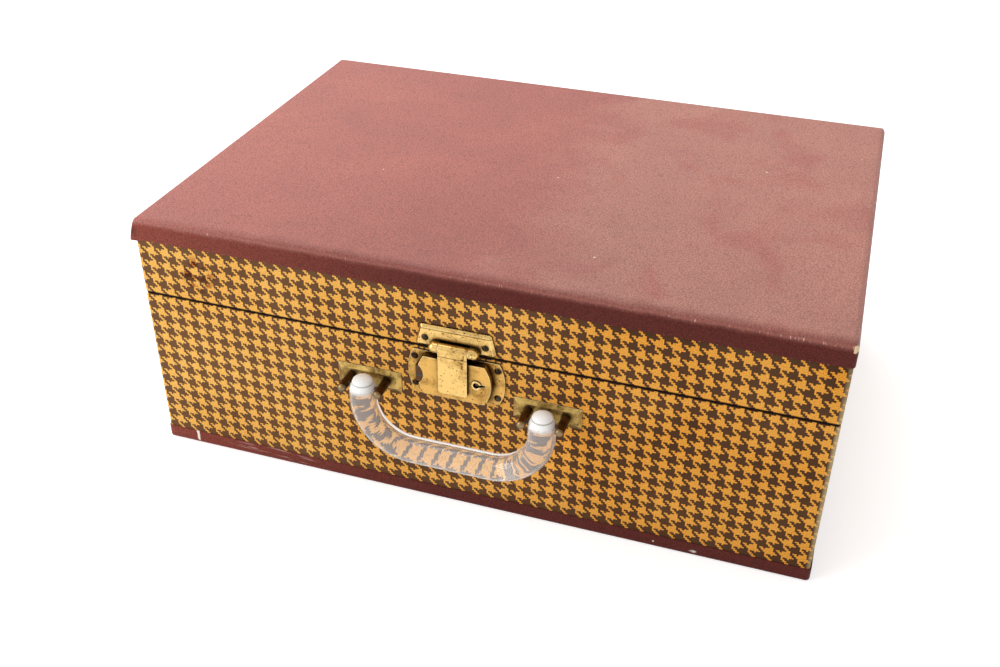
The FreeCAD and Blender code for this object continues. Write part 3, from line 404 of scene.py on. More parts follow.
def waves(points, size):
    """Slow hand-made unevenness: three sine waves across the box, summed."""
    x, y = points[..., 0] / MM, points[..., 1] / MM
    total = np.sin(x / 31 + 1.3) * np.cos(y / 23)
    total = total + 0.6 * np.sin(x / 13 + y / 17) + 0.4 * np.sin(y / 9 - x / 41)
    return size * total / 2


def cover(node, roll, flat_up):
    """One cover's points, its cut line waved up and down."""
    low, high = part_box(node)
    flat, cut = (high.z, low.z) if flat_up else (low.z, high.z)
    points = wrapped(high.x, high.y, WALL_CORNER + LEATHER, cover_profile(flat, cut, roll, high.y))
    down = np.clip(np.abs(points[..., 2] - flat) / abs(flat - cut), 0, 1)
    points[..., 2] += waves(points, CUT_WAVE) * down**2
    return points


top_points = cover("lid_leathercloth", TOP_ROLL, True)
# A sheet of wadding under the cover lifts the top a little past its board.
top_points[..., 2] += WADDING * np.clip((top_points[..., 2] - cad_high.z) / WADDED_DEPTH + 1, 0, 1)
# The fold at the front left corner stands off the wall, more so lower down.
along_fold = (top_points[..., 1] + HALF_Y - FOLD_BACK) / FOLD_LENGTH
corner_gap = np.hypot(top_points[..., 0] + HALF_X, along_fold)
lift = np.exp(-((corner_gap / FOLD_REACH) ** 2))
fallen = np.clip((cad_high.z - FOLD_TOP - top_points[..., 2]) / FOLD_DROP, 0, 1)
top_points[..., 0] -= FOLD_OUT * lift * fallen
top_points[..., 2] -= FOLD_DOWN * lift * fallen**3
grid_piece("lid_cover", top_points, "lid", None, ("lid_leathercloth",))
bottom_points = cover("base_leathercloth", BOTTOM_ROLL, False)
grid_piece("base_cover", bottom_points, "base", None, ("base_leathercloth",))

# %% [markdown]
# The coating is cellulose lacquer, rolled with a pebble pattern while it was warm.
# The top is painted a dusty pink, partly as daylight's fading and partly as painted
# light from above; hands have darkened its front, and edges are rubbed or scraped.
# Each of these is one mask that mixes one colour into the last, so each can be
# changed by itself.

# %% Leathercloth colour
CLOUD_MM, MARK_MM, RAGGED_MM = 45.0, 38.0, 9.0
DUST_SHEEN_FROM, DUST_SHEEN_TO = -20 * MM, 60 * MM
BRIM_FROM, BRIM_TO, BRIM_RAGGED = -HALF_Y + 3 * MM, -HALF_Y + 11 * MM, 7 * MM
BAND_FROM, BAND_TO, BAND_RAGGED = cad_high.z - 3.2 * MM, cad_high.z + 0.3 * MM, 1.4 * MM
LEFT_LIT_FROM = -10 * MM
leather, tree, shader, place = finish("embossed_maroon_leathercloth")
across = add(tree, "SeparateXYZ", {0: place}, "X")
deep = add(tree, "SeparateXYZ", {0: place}, "Y")
up = add(tree, "SeparateXYZ", {0: place}, "Z")
cloud = add(
    tree,
    "TexNoise",
    {"Vector": place, "Scale": 1 / (CLOUD_MM * MM), "Detail": 5.0, "Roughness": 0.6, "Distortion": 0.6},
)
ragged = add(tree, "TexNoise", {"Vector": place, "Scale": 1 / (RAGGED_MM * MM), "Detail": 4.0})
# The top is faded, and its right half is painted lighter, partly as dust and partly as painted sheen, but
# for finger marks.
marks = add(
    tree, "TexNoise", {"Vector": place, "Scale": 1 / (MARK_MM * MM), "Detail": 3.0, "Distortion": 0.5}
)
marks = add(tree, "MapRange", {0: marks, 1: 0.50, 2: 0.68, 3: 1.0, 4: 0.3}, **SMOOTH)
dust_and_sheen = add(tree, "MapRange", {0: across, 1: DUST_SHEEN_FROM, 2: DUST_SHEEN_TO})
dust_and_sheen = add(tree, "Math", {0: cloud, 1: 1.4, 2: dust_and_sheen}, operation="MULTIPLY_ADD")
dust_and_sheen = add(tree, "MapRange", {0: dust_and_sheen, 1: 0.85, 2: 1.6}, **SMOOTH)
dust_and_sheen = add(tree, "Math", {0: dust_and_sheen, 1: marks}, operation="MULTIPLY")
# The left end of the top is painted lighter, partly as sun bleaching and partly as painted light from the
# left.
left = add(tree, "MapRange", {0: across, 1: -HALF_X, 2: -HALF_X / 3, 3: 0.25, 4: 1.0})
bleach_and_left_light = add(tree, "Math", {0: left, 1: -0.24, 2: 0.24}, operation="MULTIPLY_ADD")
bleach_and_left_light = add(tree, "Math", {0: cloud, 1: bleach_and_left_light}, operation="ADD")
top_faded_and_lit = add(tree, "Mix", {0: bleach_and_left_light, MIX_A: srgb("#9E544A"), MIX_B: srgb("#C47C70")}, **COLOURS)
dust_and_sheen_colour = add(tree, "Mix", {0: cloud, MIX_A: srgb("#AA6B5E"), MIX_B: srgb("#C68A7B")}, **COLOURS)
top_faded_and_lit = add(tree, "Mix", {0: dust_and_sheen, MIX_A: top_faded_and_lit, MIX_B: dust_and_sheen_colour}, **COLOURS)
# Hands have darkened the front, and farthest in where the lid is lifted.
hands = add(tree, "Math", {0: across, 1: HALF_X / 5}, operation="SUBTRACT")
hands = add(tree, "Math", {0: hands}, operation="ABSOLUTE")
hands = add(tree, "MapRange", {0: hands, 1: HALF_X * 0.7, 2: HALF_X * 0.3, 3: -HALF_Y / 3, 4: HALF_Y / 2})
handled = add(tree, "MapRange", {0: deep, 1: -HALF_Y, 2: hands, 3: 0.88, 4: 1.0}, **SMOOTH)
brim = add(tree, "Math", {0: ragged, 1: BRIM_RAGGED, 2: deep}, operation="MULTIPLY_ADD")
brim = add(tree, "MapRange", {0: brim, 1: BRIM_FROM, 2: BRIM_TO, 3: 0.75, 4: 0.0}, **SMOOTH)
# The hands' darkening and the brim are weaker at the left end: painted light from the left.
top_faded_and_lit = add(tree, "Mix", {0: left, MIX_A: top_faded_and_lit, MIX_B: handled}, **TINT)
brim = add(tree, "Math", {0: brim, 1: left}, operation="MULTIPLY")
top_faded_and_lit = add(tree, "Mix", {0: brim, MIX_A: top_faded_and_lit, MIX_B: srgb("#7E3F36")}, **COLOURS)
# The bands, which hang upright, kept their colour; the top is painted lighter, partly as fading and partly
# as painted light from above.
# The bands are painted lighter towards the left end, partly as wear and partly as painted light from the
# left.
band_kept_and_left_lit = add(tree, "MapRange", {0: across, 1: LEFT_LIT_FROM, 2: -HALF_X})
band_kept_and_left_lit = add(tree, "Mix", {0: band_kept_and_left_lit, MIX_A: srgb("#5E2721"), MIX_B: srgb("#8F4538")}, **COLOURS)
rim = add(tree, "Math", {0: ragged, 1: BAND_RAGGED, 2: up}, operation="MULTIPLY_ADD")
upper = add(tree, "MapRange", {0: rim, 1: BAND_FROM, 2: BAND_TO}, **SMOOTH)
colour = add(tree, "Mix", {0: upper, MIX_A: band_kept_and_left_lit, MIX_B: top_faded_and_lit}, **COLOURS)
print("leathercloth is clouded every", CLOUD_MM, "mm")

# %% Leathercloth grain
GRAIN_MM, BEND_MM, BEND_BY = 1.4, 3.0, 1.4 * MM
# Pebbles are cells wider than a millimetre; the valleys between them are painted darker.
warped = add(tree, "TexNoise", {"Vector": place, "Scale": 1 / (BEND_MM * MM), "Detail": 2.0}, out="Color")
warped = add(tree, "VectorMath", {0: warped, "Scale": BEND_BY}, operation="SCALE")
warped = add(tree, "VectorMath", {0: warped, 1: place}, operation="ADD")
pebble = add(
    tree,
    "TexVoronoi",
    {"Vector": warped, "Scale": 1 / (GRAIN_MM * MM)},
    out="Distance",
    feature="DISTANCE_TO_EDGE",
)
valley = add(tree, "MapRange", {0: pebble, 1: 0.0, 2: 0.18, 3: 0.6, 4: 1.05})
colour = add(tree, "Mix", {0: 1.0, MIX_A: colour, MIX_B: valley}, **TINT)
print("leathercloth grain is", GRAIN_MM, "mm")

# %% Leathercloth wear and painted light
SCRATCH_MM, LINT_MM = (0.5, 5.0, 5.0), 24.0
ROLL_MIDDLE, ROLL_LINE_FROM, ROLL_LINE_TO = cad_high.z - 0.6 * MM, 0.9 * MM, 0.1 * MM
LINT_SHARE = 0.024
FOLD_PLACE = (-HALF_X - 2 * MM, -HALF_Y, cad_high.z - 6 * MM)
FOLD_SHADE_FROM, FOLD_SHADE_TO, FOLD_SHADE_RAGGED = 1.5 * MM, -1.5 * MM, 6 * MM
# Along the roll a lighter line is painted, partly rubbed coating and partly painted highlight, with pale
# scratches across it.
on_roll = add(tree, "Math", {0: rim, 1: ROLL_MIDDLE}, operation="SUBTRACT")
on_roll = add(tree, "Math", {0: on_roll}, operation="ABSOLUTE")
on_roll = add(tree, "MapRange", {0: on_roll, 1: ROLL_LINE_FROM, 2: ROLL_LINE_TO})
roll_rub_and_highlight = add(tree, "Math", {0: on_roll, 1: 0.3}, operation="MULTIPLY")
colour = add(tree, "Mix", {0: roll_rub_and_highlight, MIX_A: colour, MIX_B: srgb("#A8655A")}, **COLOURS)
scratch = add(tree, "Mapping", {"Vector": place, "Scale": [1 / (size * MM) for size in SCRATCH_MM]})
scratch = add(tree, "TexNoise", {"Vector": scratch, "Scale": 1.0, "Detail": 2.0})
scratch = add(tree, "Math", {0: cloud, 1: 0.35, 2: scratch}, operation="MULTIPLY_ADD")
scratch = add(tree, "MapRange", {0: scratch, 1: 0.83, 2: 0.92})
scratch = add(tree, "Math", {0: scratch, 1: on_roll}, operation="MULTIPLY")
colour = add(tree, "Mix", {0: scratch, MIX_A: colour, MIX_B: srgb("#D9B4A8")}, **COLOURS)
# A few pale specks of paint and lint.
speck = add(tree, "TexVoronoi", {"Vector": warped, "Scale": 1 / (LINT_MM * MM)}, out="Distance")
speck = add(tree, "Math", {0: speck, 1: LINT_SHARE}, operation="LESS_THAN")
colour = add(tree, "Mix", {0: speck, MIX_A: colour, MIX_B: srgb("#E3CFC4")}, **COLOURS)
# The lifted fold at the front left corner is painted dark, as shade in its crease.
fold_shade = add(tree, "VectorMath", {0: place, 1: FOLD_PLACE}, out="Value", operation="DISTANCE")
fold_shade = add(tree, "Math", {0: ragged, 1: -FOLD_SHADE_RAGGED, 2: fold_shade}, operation="MULTIPLY_ADD")
fold_shade = add(tree, "MapRange", {0: fold_shade, 1: FOLD_SHADE_FROM, 2: FOLD_SHADE_TO, 3: 0.0, 4: 0.7})
colour = add(tree, "Mix", {0: fold_shade, MIX_A: colour, MIX_B: srgb("#4A1A16")}, **COLOURS)
print("lint lies every", LINT_MM, "mm or so")

# %% Leathercloth scuffs
TEAR_MM, DRAG_MM = 2.5, (12.0, 12.0, 0.7)
BARE_FROM, BARE_TO = 0.2 * MM, -0.6 * MM
DRAG_PLACE, DRAG_TILT = (-HALF_X + 68 * MM, -HALF_Y, 0), (0, 0.1, 0)
DRAG_FROM, DRAG_TO = 34 * MM, 14 * MM
# Three places are rubbed through to the pale board: a top corner and two spots on the bottom
# edge. Each has its place, its reach, how ragged it is, how narrow, and its colour.
fine = add(tree, "TexNoise", {"Vector": place, "Scale": 1 / (TEAR_MM * MM), "Detail": 3.0})
for spot, reach, torn, narrow, bared in (
    ((HALF_X, -HALF_Y, cad_high.z - 2.5 * MM), 2.1 * MM, 7 * MM, 1.0, "#EACFA8"),
    ((-HALF_X + 18.5 * MM, -HALF_Y, 5 * MM), 2.9 * MM, 7 * MM, 3.0, "#F6EEE2"),
    ((HALF_X - 57.5 * MM, -HALF_Y, 2.8 * MM), 1.1 * MM, 1 * MM, 0.5, "#F6EEE2"),
):
    scuff = add(tree, "VectorMath", {0: place, 1: spot}, operation="SUBTRACT")
    scuff = add(tree, "VectorMath", {0: scuff, 1: (narrow, 1, 1)}, operation="MULTIPLY")
    scuff = add(tree, "VectorMath", {0: scuff}, out="Value", operation="LENGTH")
    scuff = add(tree, "Math", {0: fine, 1: -torn, 2: scuff}, operation="MULTIPLY_ADD")
    middle = reach - torn / 2
    scuff = add(tree, "MapRange", {0: scuff, 1: middle + BARE_FROM, 2: middle + BARE_TO})
    colour = add(tree, "Mix", {0: scuff, MIX_A: colour, MIX_B: srgb(bared)}, **COLOURS)
# The bottom edge was dragged along something hard, left of the handle.
drag = add(tree, "VectorMath", {0: place, 1: DRAG_PLACE}, out="Value", operation="DISTANCE")
drag = add(tree, "MapRange", {0: drag, 1: DRAG_FROM, 2: DRAG_TO, 3: 0.0, 4: 0.6})
scale = [1 / (size * MM) for size in DRAG_MM]
lines = add(tree, "Mapping", {"Vector": place, "Rotation": DRAG_TILT, "Scale": scale})
lines = add(tree, "TexNoise", {"Vector": lines, "Scale": 1.0, "Detail": 2.0})
lines = add(tree, "MapRange", {0: lines, 1: 0.56, 2: 0.68})
drag = add(tree, "Math", {0: drag, 1: lines}, operation="MULTIPLY")
colour = add(tree, "Mix", {0: drag, MIX_A: colour, MIX_B: srgb("#D8AEA6")}, **COLOURS)
tree.links.new(colour, shader.inputs["Base Color"])
print("the scuffs' edges are torn every", TEAR_MM, "mm or so")

# %% Leathercloth gloss and relief
gloss = add(tree, "MapRange", {0: cloud, 1: 0.3, 2: 0.7, 3: 0.46, 4: 0.62})
tree.links.new(gloss, shader.inputs["Roughness"])
shine = add(tree, "MapRange", {0: upper, 3: 0.12, 4: 0.3})
tree.links.new(shine, shader.inputs["Specular IOR Level"])
relief = add(tree, "MapRange", {0: pebble, 1: 0.0, 2: 0.35})
relief = add(tree, "Math", {0: cloud, 1: 6.0, 2: relief}, operation="MULTIPLY_ADD")
bump = add(tree, "Bump", {"Strength": 0.6, "Distance": 0.16 * MM, "Height": relief})
tree.links.new(bump, shader.inputs["Normal"])
dress(leather, "lid_cover", "base_cover")
print("made", leather.name)

# %% [markdown]
# ## The clear rod handle
# The handle is an acrylic rod, heated and bent to a bail. Each end is turned to a
# short cone-shaped cap above a groove, and the sanding left it white. A bevelled
# curve would do for a plain rod. Here it is a circle carried along the bail's
# centreline, so that its radius can follow the cap's formula near each end.

# %% Handle centreline
BEND = 26.7 * MM
PIVOT = np.array(next(j for j in frame["joints"] if j["name"] == "handle_swing")["pos_m"])
grip_low, grip_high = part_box("handle_grip")
ROD = (grip_high.y - grip_low.y) / 2
SPAN = (grip_high.x - grip_low.x) / 2 - ROD


def bail(distance):
    """The centreline and its heading at each distance from the left end.

    Down the left leg, a quarter circle, along the grip, a quarter circle, up
    the right leg.
    """
    leg = grip_high.z - grip_low.z - ROD - BEND
    turn = BEND * math.pi / 2
    flat = 2 * (SPAN - BEND)
    marks = np.cumsum([0, leg, turn, flat, turn, leg])
    piece = np.clip(np.searchsorted(marks, distance, side="right") - 1, 0, 4)
    along = distance - marks[piece]
    still = 0 * along
    on = [piece == number for number in range(5)]
    angle = np.select(on, [-90 + still, -90 + along / turn * 90, still, along / turn * 90, 90 + still])
    angle = np.radians(angle)
    floor = grip_low.z + ROD
    first = angle + math.pi / 2
    left, right = BEND - SPAN, SPAN - BEND
    left_turn, right_turn = left - BEND * np.cos(first), right + BEND * np.sin(angle)
    x = np.select(on, [still - SPAN, left_turn, left + along, right_turn, still + SPAN])
    fall, rise = floor + BEND * (1 - np.sin(first)), floor + BEND * (1 - np.cos(angle))
    z = np.select(on, [grip_high.z - along, fall, floor + still, rise, floor + BEND + along])
    centre = np.stack([x + PIVOT[0], z], axis=-1)
    return centre, np.stack([np.cos(angle), np.sin(angle)], axis=-1), marks[-1]


LENGTH = bail(np.zeros(1))[2]
print("the handle's rod is", round(LENGTH / MM, 1), "mm long")

# %% Handle rod
ROUND_STEPS, EDGE_ROWS, CAP_ROWS, GRIP_ROWS = 48, 16, 24, 130
CAP, SHOULDER = 2.9 * MM, 8.0 * MM
TOP_SHARE, FOOT_SHARE, NECK_SHARE = 0.58, 0.78, 0.72
TOP_EDGE, TRIM = 1.8 * MM, 1.3 * MM


def handle_rod():
    """The rod's points: centre plus radius times a circle across the heading.

    With t the distance from the nearer trimmed tip, the cap is a cone that
    widens from its top share of R to its foot share at the cap's length, times
    the quarter circle sqrt(1 - (1 - t / e)^2) that rounds its top edge over the
    length e. Below it the groove starts at the neck's share and widens to R.
    """
    start = CAP * (1 - np.cos(np.linspace(0, math.pi / 2, EDGE_ROWS)))
    start = TRIM + np.concatenate([start, np.linspace(CAP, 2 * SHOULDER, CAP_ROWS)[1:]])
    middle = np.linspace(start[-1], LENGTH - start[-1], GRIP_ROWS)[1:-1]
    distance = np.concatenate([start, middle, LENGTH - start[::-1]])
    centre, heading, _ = bail(distance)
    tip = np.minimum(distance, LENGTH - distance) - TRIM
    cone = TOP_SHARE + (FOOT_SHARE - TOP_SHARE) * np.clip(tip / CAP, 0, 1)
    cap = cone * np.sqrt(1 - np.clip(1 - tip / TOP_EDGE, 0, 1) ** 2)
    widen = np.clip((tip - CAP) / (SHOULDER - CAP), 0, 1)
    shoulder = NECK_SHARE + (1 - NECK_SHARE) * np.sin(widen * math.pi / 2)
    radius = ROD * np.where(tip <= CAP, cap, shoulder)
    turn = np.linspace(0, 2 * math.pi, ROUND_STEPS + 1)
    side = np.stack([-heading[:, 1], heading[:, 0]], axis=-1)
    flat = centre[:, None] + radius[:, None, None] * np.cos(turn)[None, :, None] * side[:, None]
    depth = PIVOT[1] + radius[:, None] * np.sin(turn)[None]
    return np.stack([flat[..., 0], depth, flat[..., 1]], axis=-1)


rod = grid_piece("handle_rod", handle_rod(), "handle", None, ("handle_grip",))
# Clear plastic passes the light on to the cloth behind it, so it casts no shadow.
rod.visible_shadow = False
print("the handle is", round(2 * (SPAN + ROD) / MM, 1), "mm wide and", round(2 * ROD / MM, 1), "mm thick")

# %% [markdown]
# Acrylic is as clear as glass but bends light less, with an index of 1.49. Its
# ends lose their transmission to a white frost, and its skin a little of it where
# it is seen edge-on, partly as scratched plastic does and partly as a painted
# highlight.

# %% Polished acrylic with sanded ends
WHITE_TO_MM, CLEAR_FROM_MM = 6.6, 10.2
STREAK_MM, RIPPLE_MM = (1.2, 1.2, 9.0), 7.0
FROST_END, FROST_RAGGED = grip_high.z + 0.7 * MM, 1.5 * MM
GROOVE, GROOVE_FROM, GROOVE_TO = grip_high.z - TRIM - CAP - 0.2 * MM, 0.5 * MM, 0.2 * MM
ACRYLIC_IOR = 1.49
acrylic, tree, shader, place = finish("polished_acrylic_rod")
up = add(tree, "SeparateXYZ", {0: place}, "Z")
streak = add(tree, "Mapping", {"Vector": place, "Scale": [1 / (size * MM) for size in STREAK_MM]})
streak = add(tree, "TexNoise", {"Vector": streak, "Scale": 1.0, "Detail": 3.0})
ragged = add(tree, "Math", {0: streak, 1: FROST_RAGGED, 2: up}, operation="MULTIPLY_ADD")
clear_at, white_at = FROST_END - CLEAR_FROM_MM * MM, FROST_END - WHITE_TO_MM * MM
frost = add(tree, "MapRange", {0: ragged, 1: clear_at, 2: white_at, 3: 0.0, 4: 0.96})
# The skin is made white where it is seen edge-on: partly scratched plastic, partly a painted highlight.
skin_haze_and_highlight = add(tree, "LayerWeight", {"Blend": 0.5}, out="Facing")
skin_haze_and_highlight = add(tree, "MapRange", {0: skin_haze_and_highlight, 1: 0.4, 2: 0.9, 3: 0.1, 4: 0.3})
frost = add(tree, "Math", {0: frost, 1: skin_haze_and_highlight}, operation="MAXIMUM")
clear = add(tree, "Math", {0: 1.0, 1: frost}, operation="SUBTRACT")
tree.links.new(clear, shader.inputs["Transmission Weight"])
groove = add(tree, "Math", {0: up, 1: GROOVE}, operation="SUBTRACT")
groove = add(tree, "Math", {0: groove}, operation="ABSOLUTE")
groove = add(tree, "MapRange", {0: groove, 1: GROOVE_FROM, 2: GROOVE_TO, 3: 0.0, 4: 0.75})
colour = add(tree, "Mix", {0: groove, MIX_A: srgb("#FCFCFA"), MIX_B: srgb("#989484")}, **COLOURS)
tree.links.new(colour, shader.inputs["Base Color"])
rough = add(tree, "MapRange", {0: streak, 1: 0.3, 2: 0.7, 3: 0.0, 4: 0.06})
rough = add(tree, "Math", {0: frost, 1: 0.3, 2: rough}, operation="MULTIPLY_ADD")
tree.links.new(rough, shader.inputs["Roughness"])
shader.inputs["IOR"].default_value = ACRYLIC_IOR
ripple = add(tree, "TexNoise", {"Vector": place, "Scale": 1 / (RIPPLE_MM * MM), "Detail": 2.0})
bump = add(tree, "Bump", {"Strength": 0.3, "Distance": 0.6 * MM, "Height": ripple})
tree.links.new(bump, shader.inputs["Normal"])
dress(acrylic, "handle_rod")
print("acrylic ends are white for", WHITE_TO_MM, "mm")

# %% [markdown]
# ## Brass hardware
# The hardware is pressed from brass sheet, once lacquered. Handling has worn the
# lacquer: the faces stay yellow and bright, dark specks show where it broke, and
# brown tarnish gathers on what isn't touched. The pressed edges are not sharp,
# so a Bevel node rounds them in the shading and also finds the edges, which are
# painted bright, partly as wear and partly as painted highlight. Faces that point
# down, bent lines and places near other pieces get painted shade.

# %% Aged brass
SPECK_MM, TARNISH_MM, EDGE_MM, SHADE_MM = 1.1, 8.0, 0.6, 5.0
BARE_DEPTH, LINE_SHADE_FROM, LINE_SHADE_TO = 0.6 * MM, 0.5 * MM, 0.1 * MM


def aged_brass(name, bright, dull, tarnish, rough, bare_before=-1.0, shade_lines=()):
    """Brass whose tarnish, from 0 to 1, mixes a dull colour into a bright one.

    Edges are painted bright, partly as wear and partly as highlight. Painted shade
    lies underneath and where other pieces are near, and what stands forward of
    bare_before is rubbed bare. The given heights are pressed or bent lines, each
    painted with a thin dark line of shade.
    """
    material, tree, shader, place = finish(name)
    cloud = add(
        tree,
        "TexNoise",
        {"Vector": place, "Scale": 1 / (TARNISH_MM * MM), "Detail": 5.0, "Roughness": 0.65},
    )
    cover = add(tree, "MapRange", {0: cloud, 1: 0.60 - tarnish * 0.4, 2: 0.84 - tarnish * 0.4})
    colour = add(tree, "Mix", {0: cover, MIX_A: srgb(bright), MIX_B: srgb(dull)}, **COLOURS)
    spots = add(tree, "TexNoise", {"Vector": place, "Scale": 1 / (SPECK_MM * MM), "Detail": 2.0})
    spots = add(tree, "Math", {0: cloud, 1: 0.3, 2: spots}, operation="MULTIPLY_ADD")
    spots = add(tree, "MapRange", {0: spots, 1: 0.775, 2: 0.85})
    colour = add(tree, "Mix", {0: spots, MIX_A: colour, MIX_B: srgb("#4A3014")}, **COLOURS)
    soft = add(tree, "Bevel", {"Radius": EDGE_MM * MM}, samples=6)
    face = add(tree, "NewGeometry", {}, out="Normal")
    same = add(tree, "VectorMath", {0: soft, 1: face}, out="Value", operation="DOT_PRODUCT")
    # Edges that the Bevel node finds are painted bright: partly worn lacquer, partly painted highlight.
    worn_and_highlit = add(tree, "MapRange", {0: same, 1: 0.99, 2: 0.86, 3: 0.0, 4: 0.85})
    deep = add(tree, "SeparateXYZ", {0: place}, "Y")
    bare = add(tree, "MapRange", {0: deep, 1: bare_before, 2: bare_before - BARE_DEPTH, 3: 0.0, 4: 0.15})
    worn_and_highlit = add(tree, "Math", {0: worn_and_highlit, 1: bare}, operation="MAXIMUM")
    colour = add(tree, "Mix", {0: worn_and_highlit, MIX_A: colour, MIX_B: srgb("#FBE6B0")}, **COLOURS)
    # Painted shade: occlusion darkens what lies near other pieces, and faces that point down are darkened
    # too.
    open_to = add(tree, "AmbientOcclusion", {"Distance": SHADE_MM * MM}, out="AO", samples=8)
    painted_shade = add(tree, "MapRange", {0: open_to, 1: 0.94, 2: 0.52, 3: 0.0, 4: 0.96})
    under = add(tree, "TexCoord", {}, out="Normal")
    under = add(tree, "SeparateXYZ", {0: under}, "Z")
    under = add(tree, "MapRange", {0: under, 1: -0.05, 2: -0.8, 3: 0.0, 4: 0.85})
    painted_shade = add(tree, "Math", {0: painted_shade, 1: under}, operation="MAXIMUM")
    colour = add(tree, "Mix", {0: painted_shade, MIX_A: colour, MIX_B: srgb("#2A1A0A")}, **COLOURS)
    up = add(tree, "SeparateXYZ", {0: place}, "Z")
    # Each given height gets a thin dark line of painted shade.
    for height in shade_lines:
        line_shade = add(tree, "Math", {0: up, 1: height}, operation="SUBTRACT")
        line_shade = add(tree, "Math", {0: line_shade}, operation="ABSOLUTE")
        line_shade = add(tree, "MapRange", {0: line_shade, 1: LINE_SHADE_FROM, 2: LINE_SHADE_TO, 3: 0.0, 4: 0.7})
        colour = add(tree, "Mix", {0: line_shade, MIX_A: colour, MIX_B: srgb("#4A3014")}, **COLOURS)
    tree.links.new(colour, shader.inputs["Base Color"])
    shader.inputs["Metallic"].default_value = 1.0
    gloss = add(tree, "MapRange", {0: cloud, 1: 0.3, 2: 0.75, 3: rough - 0.08, 4: rough + 0.14})
    tree.links.new(gloss, shader.inputs["Roughness"])
    bump = add(tree, "Bump", {"Strength": 0.35, "Distance": 0.12 * MM, "Height": cloud, "Normal": soft})
    tree.links.new(bump, shader.inputs["Normal"])
    print("made", name)
    return material


print("brass is tarnished in patches of", TARNISH_MM, "mm")

# %% Brass on each piece
POST_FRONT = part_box("handle_posts")[0].y
pin_low, pin_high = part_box("hasp_pin")
BEND_LINE = pin_low.z + pin_high.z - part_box("hasp_strap")[1].z - 0.3 * MM
BEAD_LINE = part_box("hasp_plate")[1].z - 1.8 * MM
# The bend under the hinge barrel and the bead below the plate's top get lines of painted shade.
LINES = (BEND_LINE, BEAD_LINE)
lock_brass = aged_brass("worn_lacquered_brass", "#DAB56F", "#A07A3E", 0.33, 0.26, shade_lines=LINES)
# The lock case and its back plate get a darker copy of the lock's brass: painted shade that sets them
# apart from the strap.
shaded_case_brass = aged_brass("dulled_lacquered_brass", "#CB9F56", "#8C6832", 0.4, 0.32)
rivet_brass = aged_brass("blackened_brass", "#443A30", "#1A1612", 0.5, 0.34)
plate_brass = aged_brass("tarnished_brass_plate", "#C0A05C", "#72592C", 0.5, 0.42)
brown_brass = aged_brass("browned_brass", "#66492C", "#2E2012", 0.45, 0.36, POST_FRONT + 1.2 * MM)
dress(lock_brass, "hasp_plate", "hasp_strap", "hasp_catch", "keyhole_eyelet")
dress(shaded_case_brass, "lock_case", "lock_back_plate")
for side in ("left", "right"):
    dress(plate_brass, f"handle_plate_{side}", f"stay_arm_{side}")
    dress(plate_brass, f"base_hinge_leaf_{side}", f"lid_hinge_leaf_{side}")
dress(plate_brass, "stay_pivot_rivets", "stay_stud_rivets", "mirror_clips")
dress(brown_brass, "handle_posts")
dress(rivet_brass, "lock_rivets", "hasp_plate_rivets", "base_hinge_rivets", "lid_hinge_rivets")

# %% [markdown]
# ## Steel pins and the slide
# Pins, the key post and the lock's slide are plain drawn steel. It has darkened
# with age and rusted in patches, and it keeps fine lines along the drawing
# direction, which a noise stretched that way gives.

# %% Drawn steel
DRAWN_MM, RUST_MM = (6.0, 0.3, 0.3), 2.5
steel, tree, shader, place = finish("drawn_steel")
streak = add(tree, "Mapping", {"Vector": place, "Scale": [1 / (size * MM) for size in DRAWN_MM]})
streak = add(tree, "TexNoise", {"Vector": streak, "Scale": 1.0, "Detail": 3.0})
rust = add(tree, "TexNoise", {"Vector": place, "Scale": 1 / (RUST_MM * MM), "Detail": 4.0})
rust = add(tree, "MapRange", {0: rust, 1: 0.48, 2: 0.62})
colour = add(tree, "Mix", {0: streak, MIX_A: srgb("#2C241E"), MIX_B: srgb("#5C5044")}, **COLOURS)
colour = add(tree, "Mix", {0: rust, MIX_A: colour, MIX_B: srgb("#6B4026")}, **COLOURS)
tree.links.new(colour, shader.inputs["Base Color"])
shader.inputs["Metallic"].default_value = 1.0
gloss = add(tree, "MapRange", {0: rust, 3: 0.3, 4: 0.7})
tree.links.new(gloss, shader.inputs["Roughness"])
dress(steel, "release_slide", "key_post", "hasp_pin", "hinge_pins", "handle_pins")
print("made drawn_steel")

# %% [markdown]
# ## Lining
# Inside, a rayon taffeta lining is pasted to the boards and turned over their
# rims. It is the same kind of shell as the covers, with rounded inner corners,
# and fine ribs across the cloth give taffeta its broken shine.

# %% Linings
LINING = 0.8 * MM
LINING_ROLL = 4.0 * MM
# The hollow's half width inside the lining, as in the CAD model.
LINED_HALF_X = 172.6 * MM
RIM_FLANGE = 0.2 * MM


def lining(name, body, node, rim, floor):
    """A lined hollow: from the middle of the floor up the wall, over the rim, and back behind."""
    low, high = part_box(node)
    sign = 1 if rim > floor else -1
    behind = floor - sign * LINING
    wall = high.x - LINED_HALF_X
    rim_edge = [(0.0, rim - sign * RIM_FLANGE), (0.0, rim - sign * 0.1 * MM), (0.2 * MM, rim)]
    over = [(0.4 * MM, 0.0), (0.1 * MM, 0.2 * MM), (0.0, 0.6 * MM)]
    over = [(wall - inset, rim - sign * drop) for inset, drop in over]
    down = [(wall, z) for z in np.linspace(rim - sign * 3 * MM, floor + sign * LINING_ROLL, 8)]
    foot = [(wall + LINING_ROLL * (1 - math.cos(a)), floor + sign * LINING_ROLL * (1 - math.sin(a)))
            for a in np.radians(np.linspace(15, 90, 6))]
    flat = [(inset, floor) for inset in (20 * MM, 50 * MM, 90 * MM, high.y)]
    back = [(high.y, behind), (wall - LINING, behind), (wall - LINING, rim - sign * RIM_FLANGE)]
    seen = rim_edge + over + down + foot + flat
    profile = seen[::-1] + back[::-1]
    points = wrapped(high.x, high.y, WALL_CORNER - CLOTH, profile)
    return grid_piece(name, points, body, None, (node,))


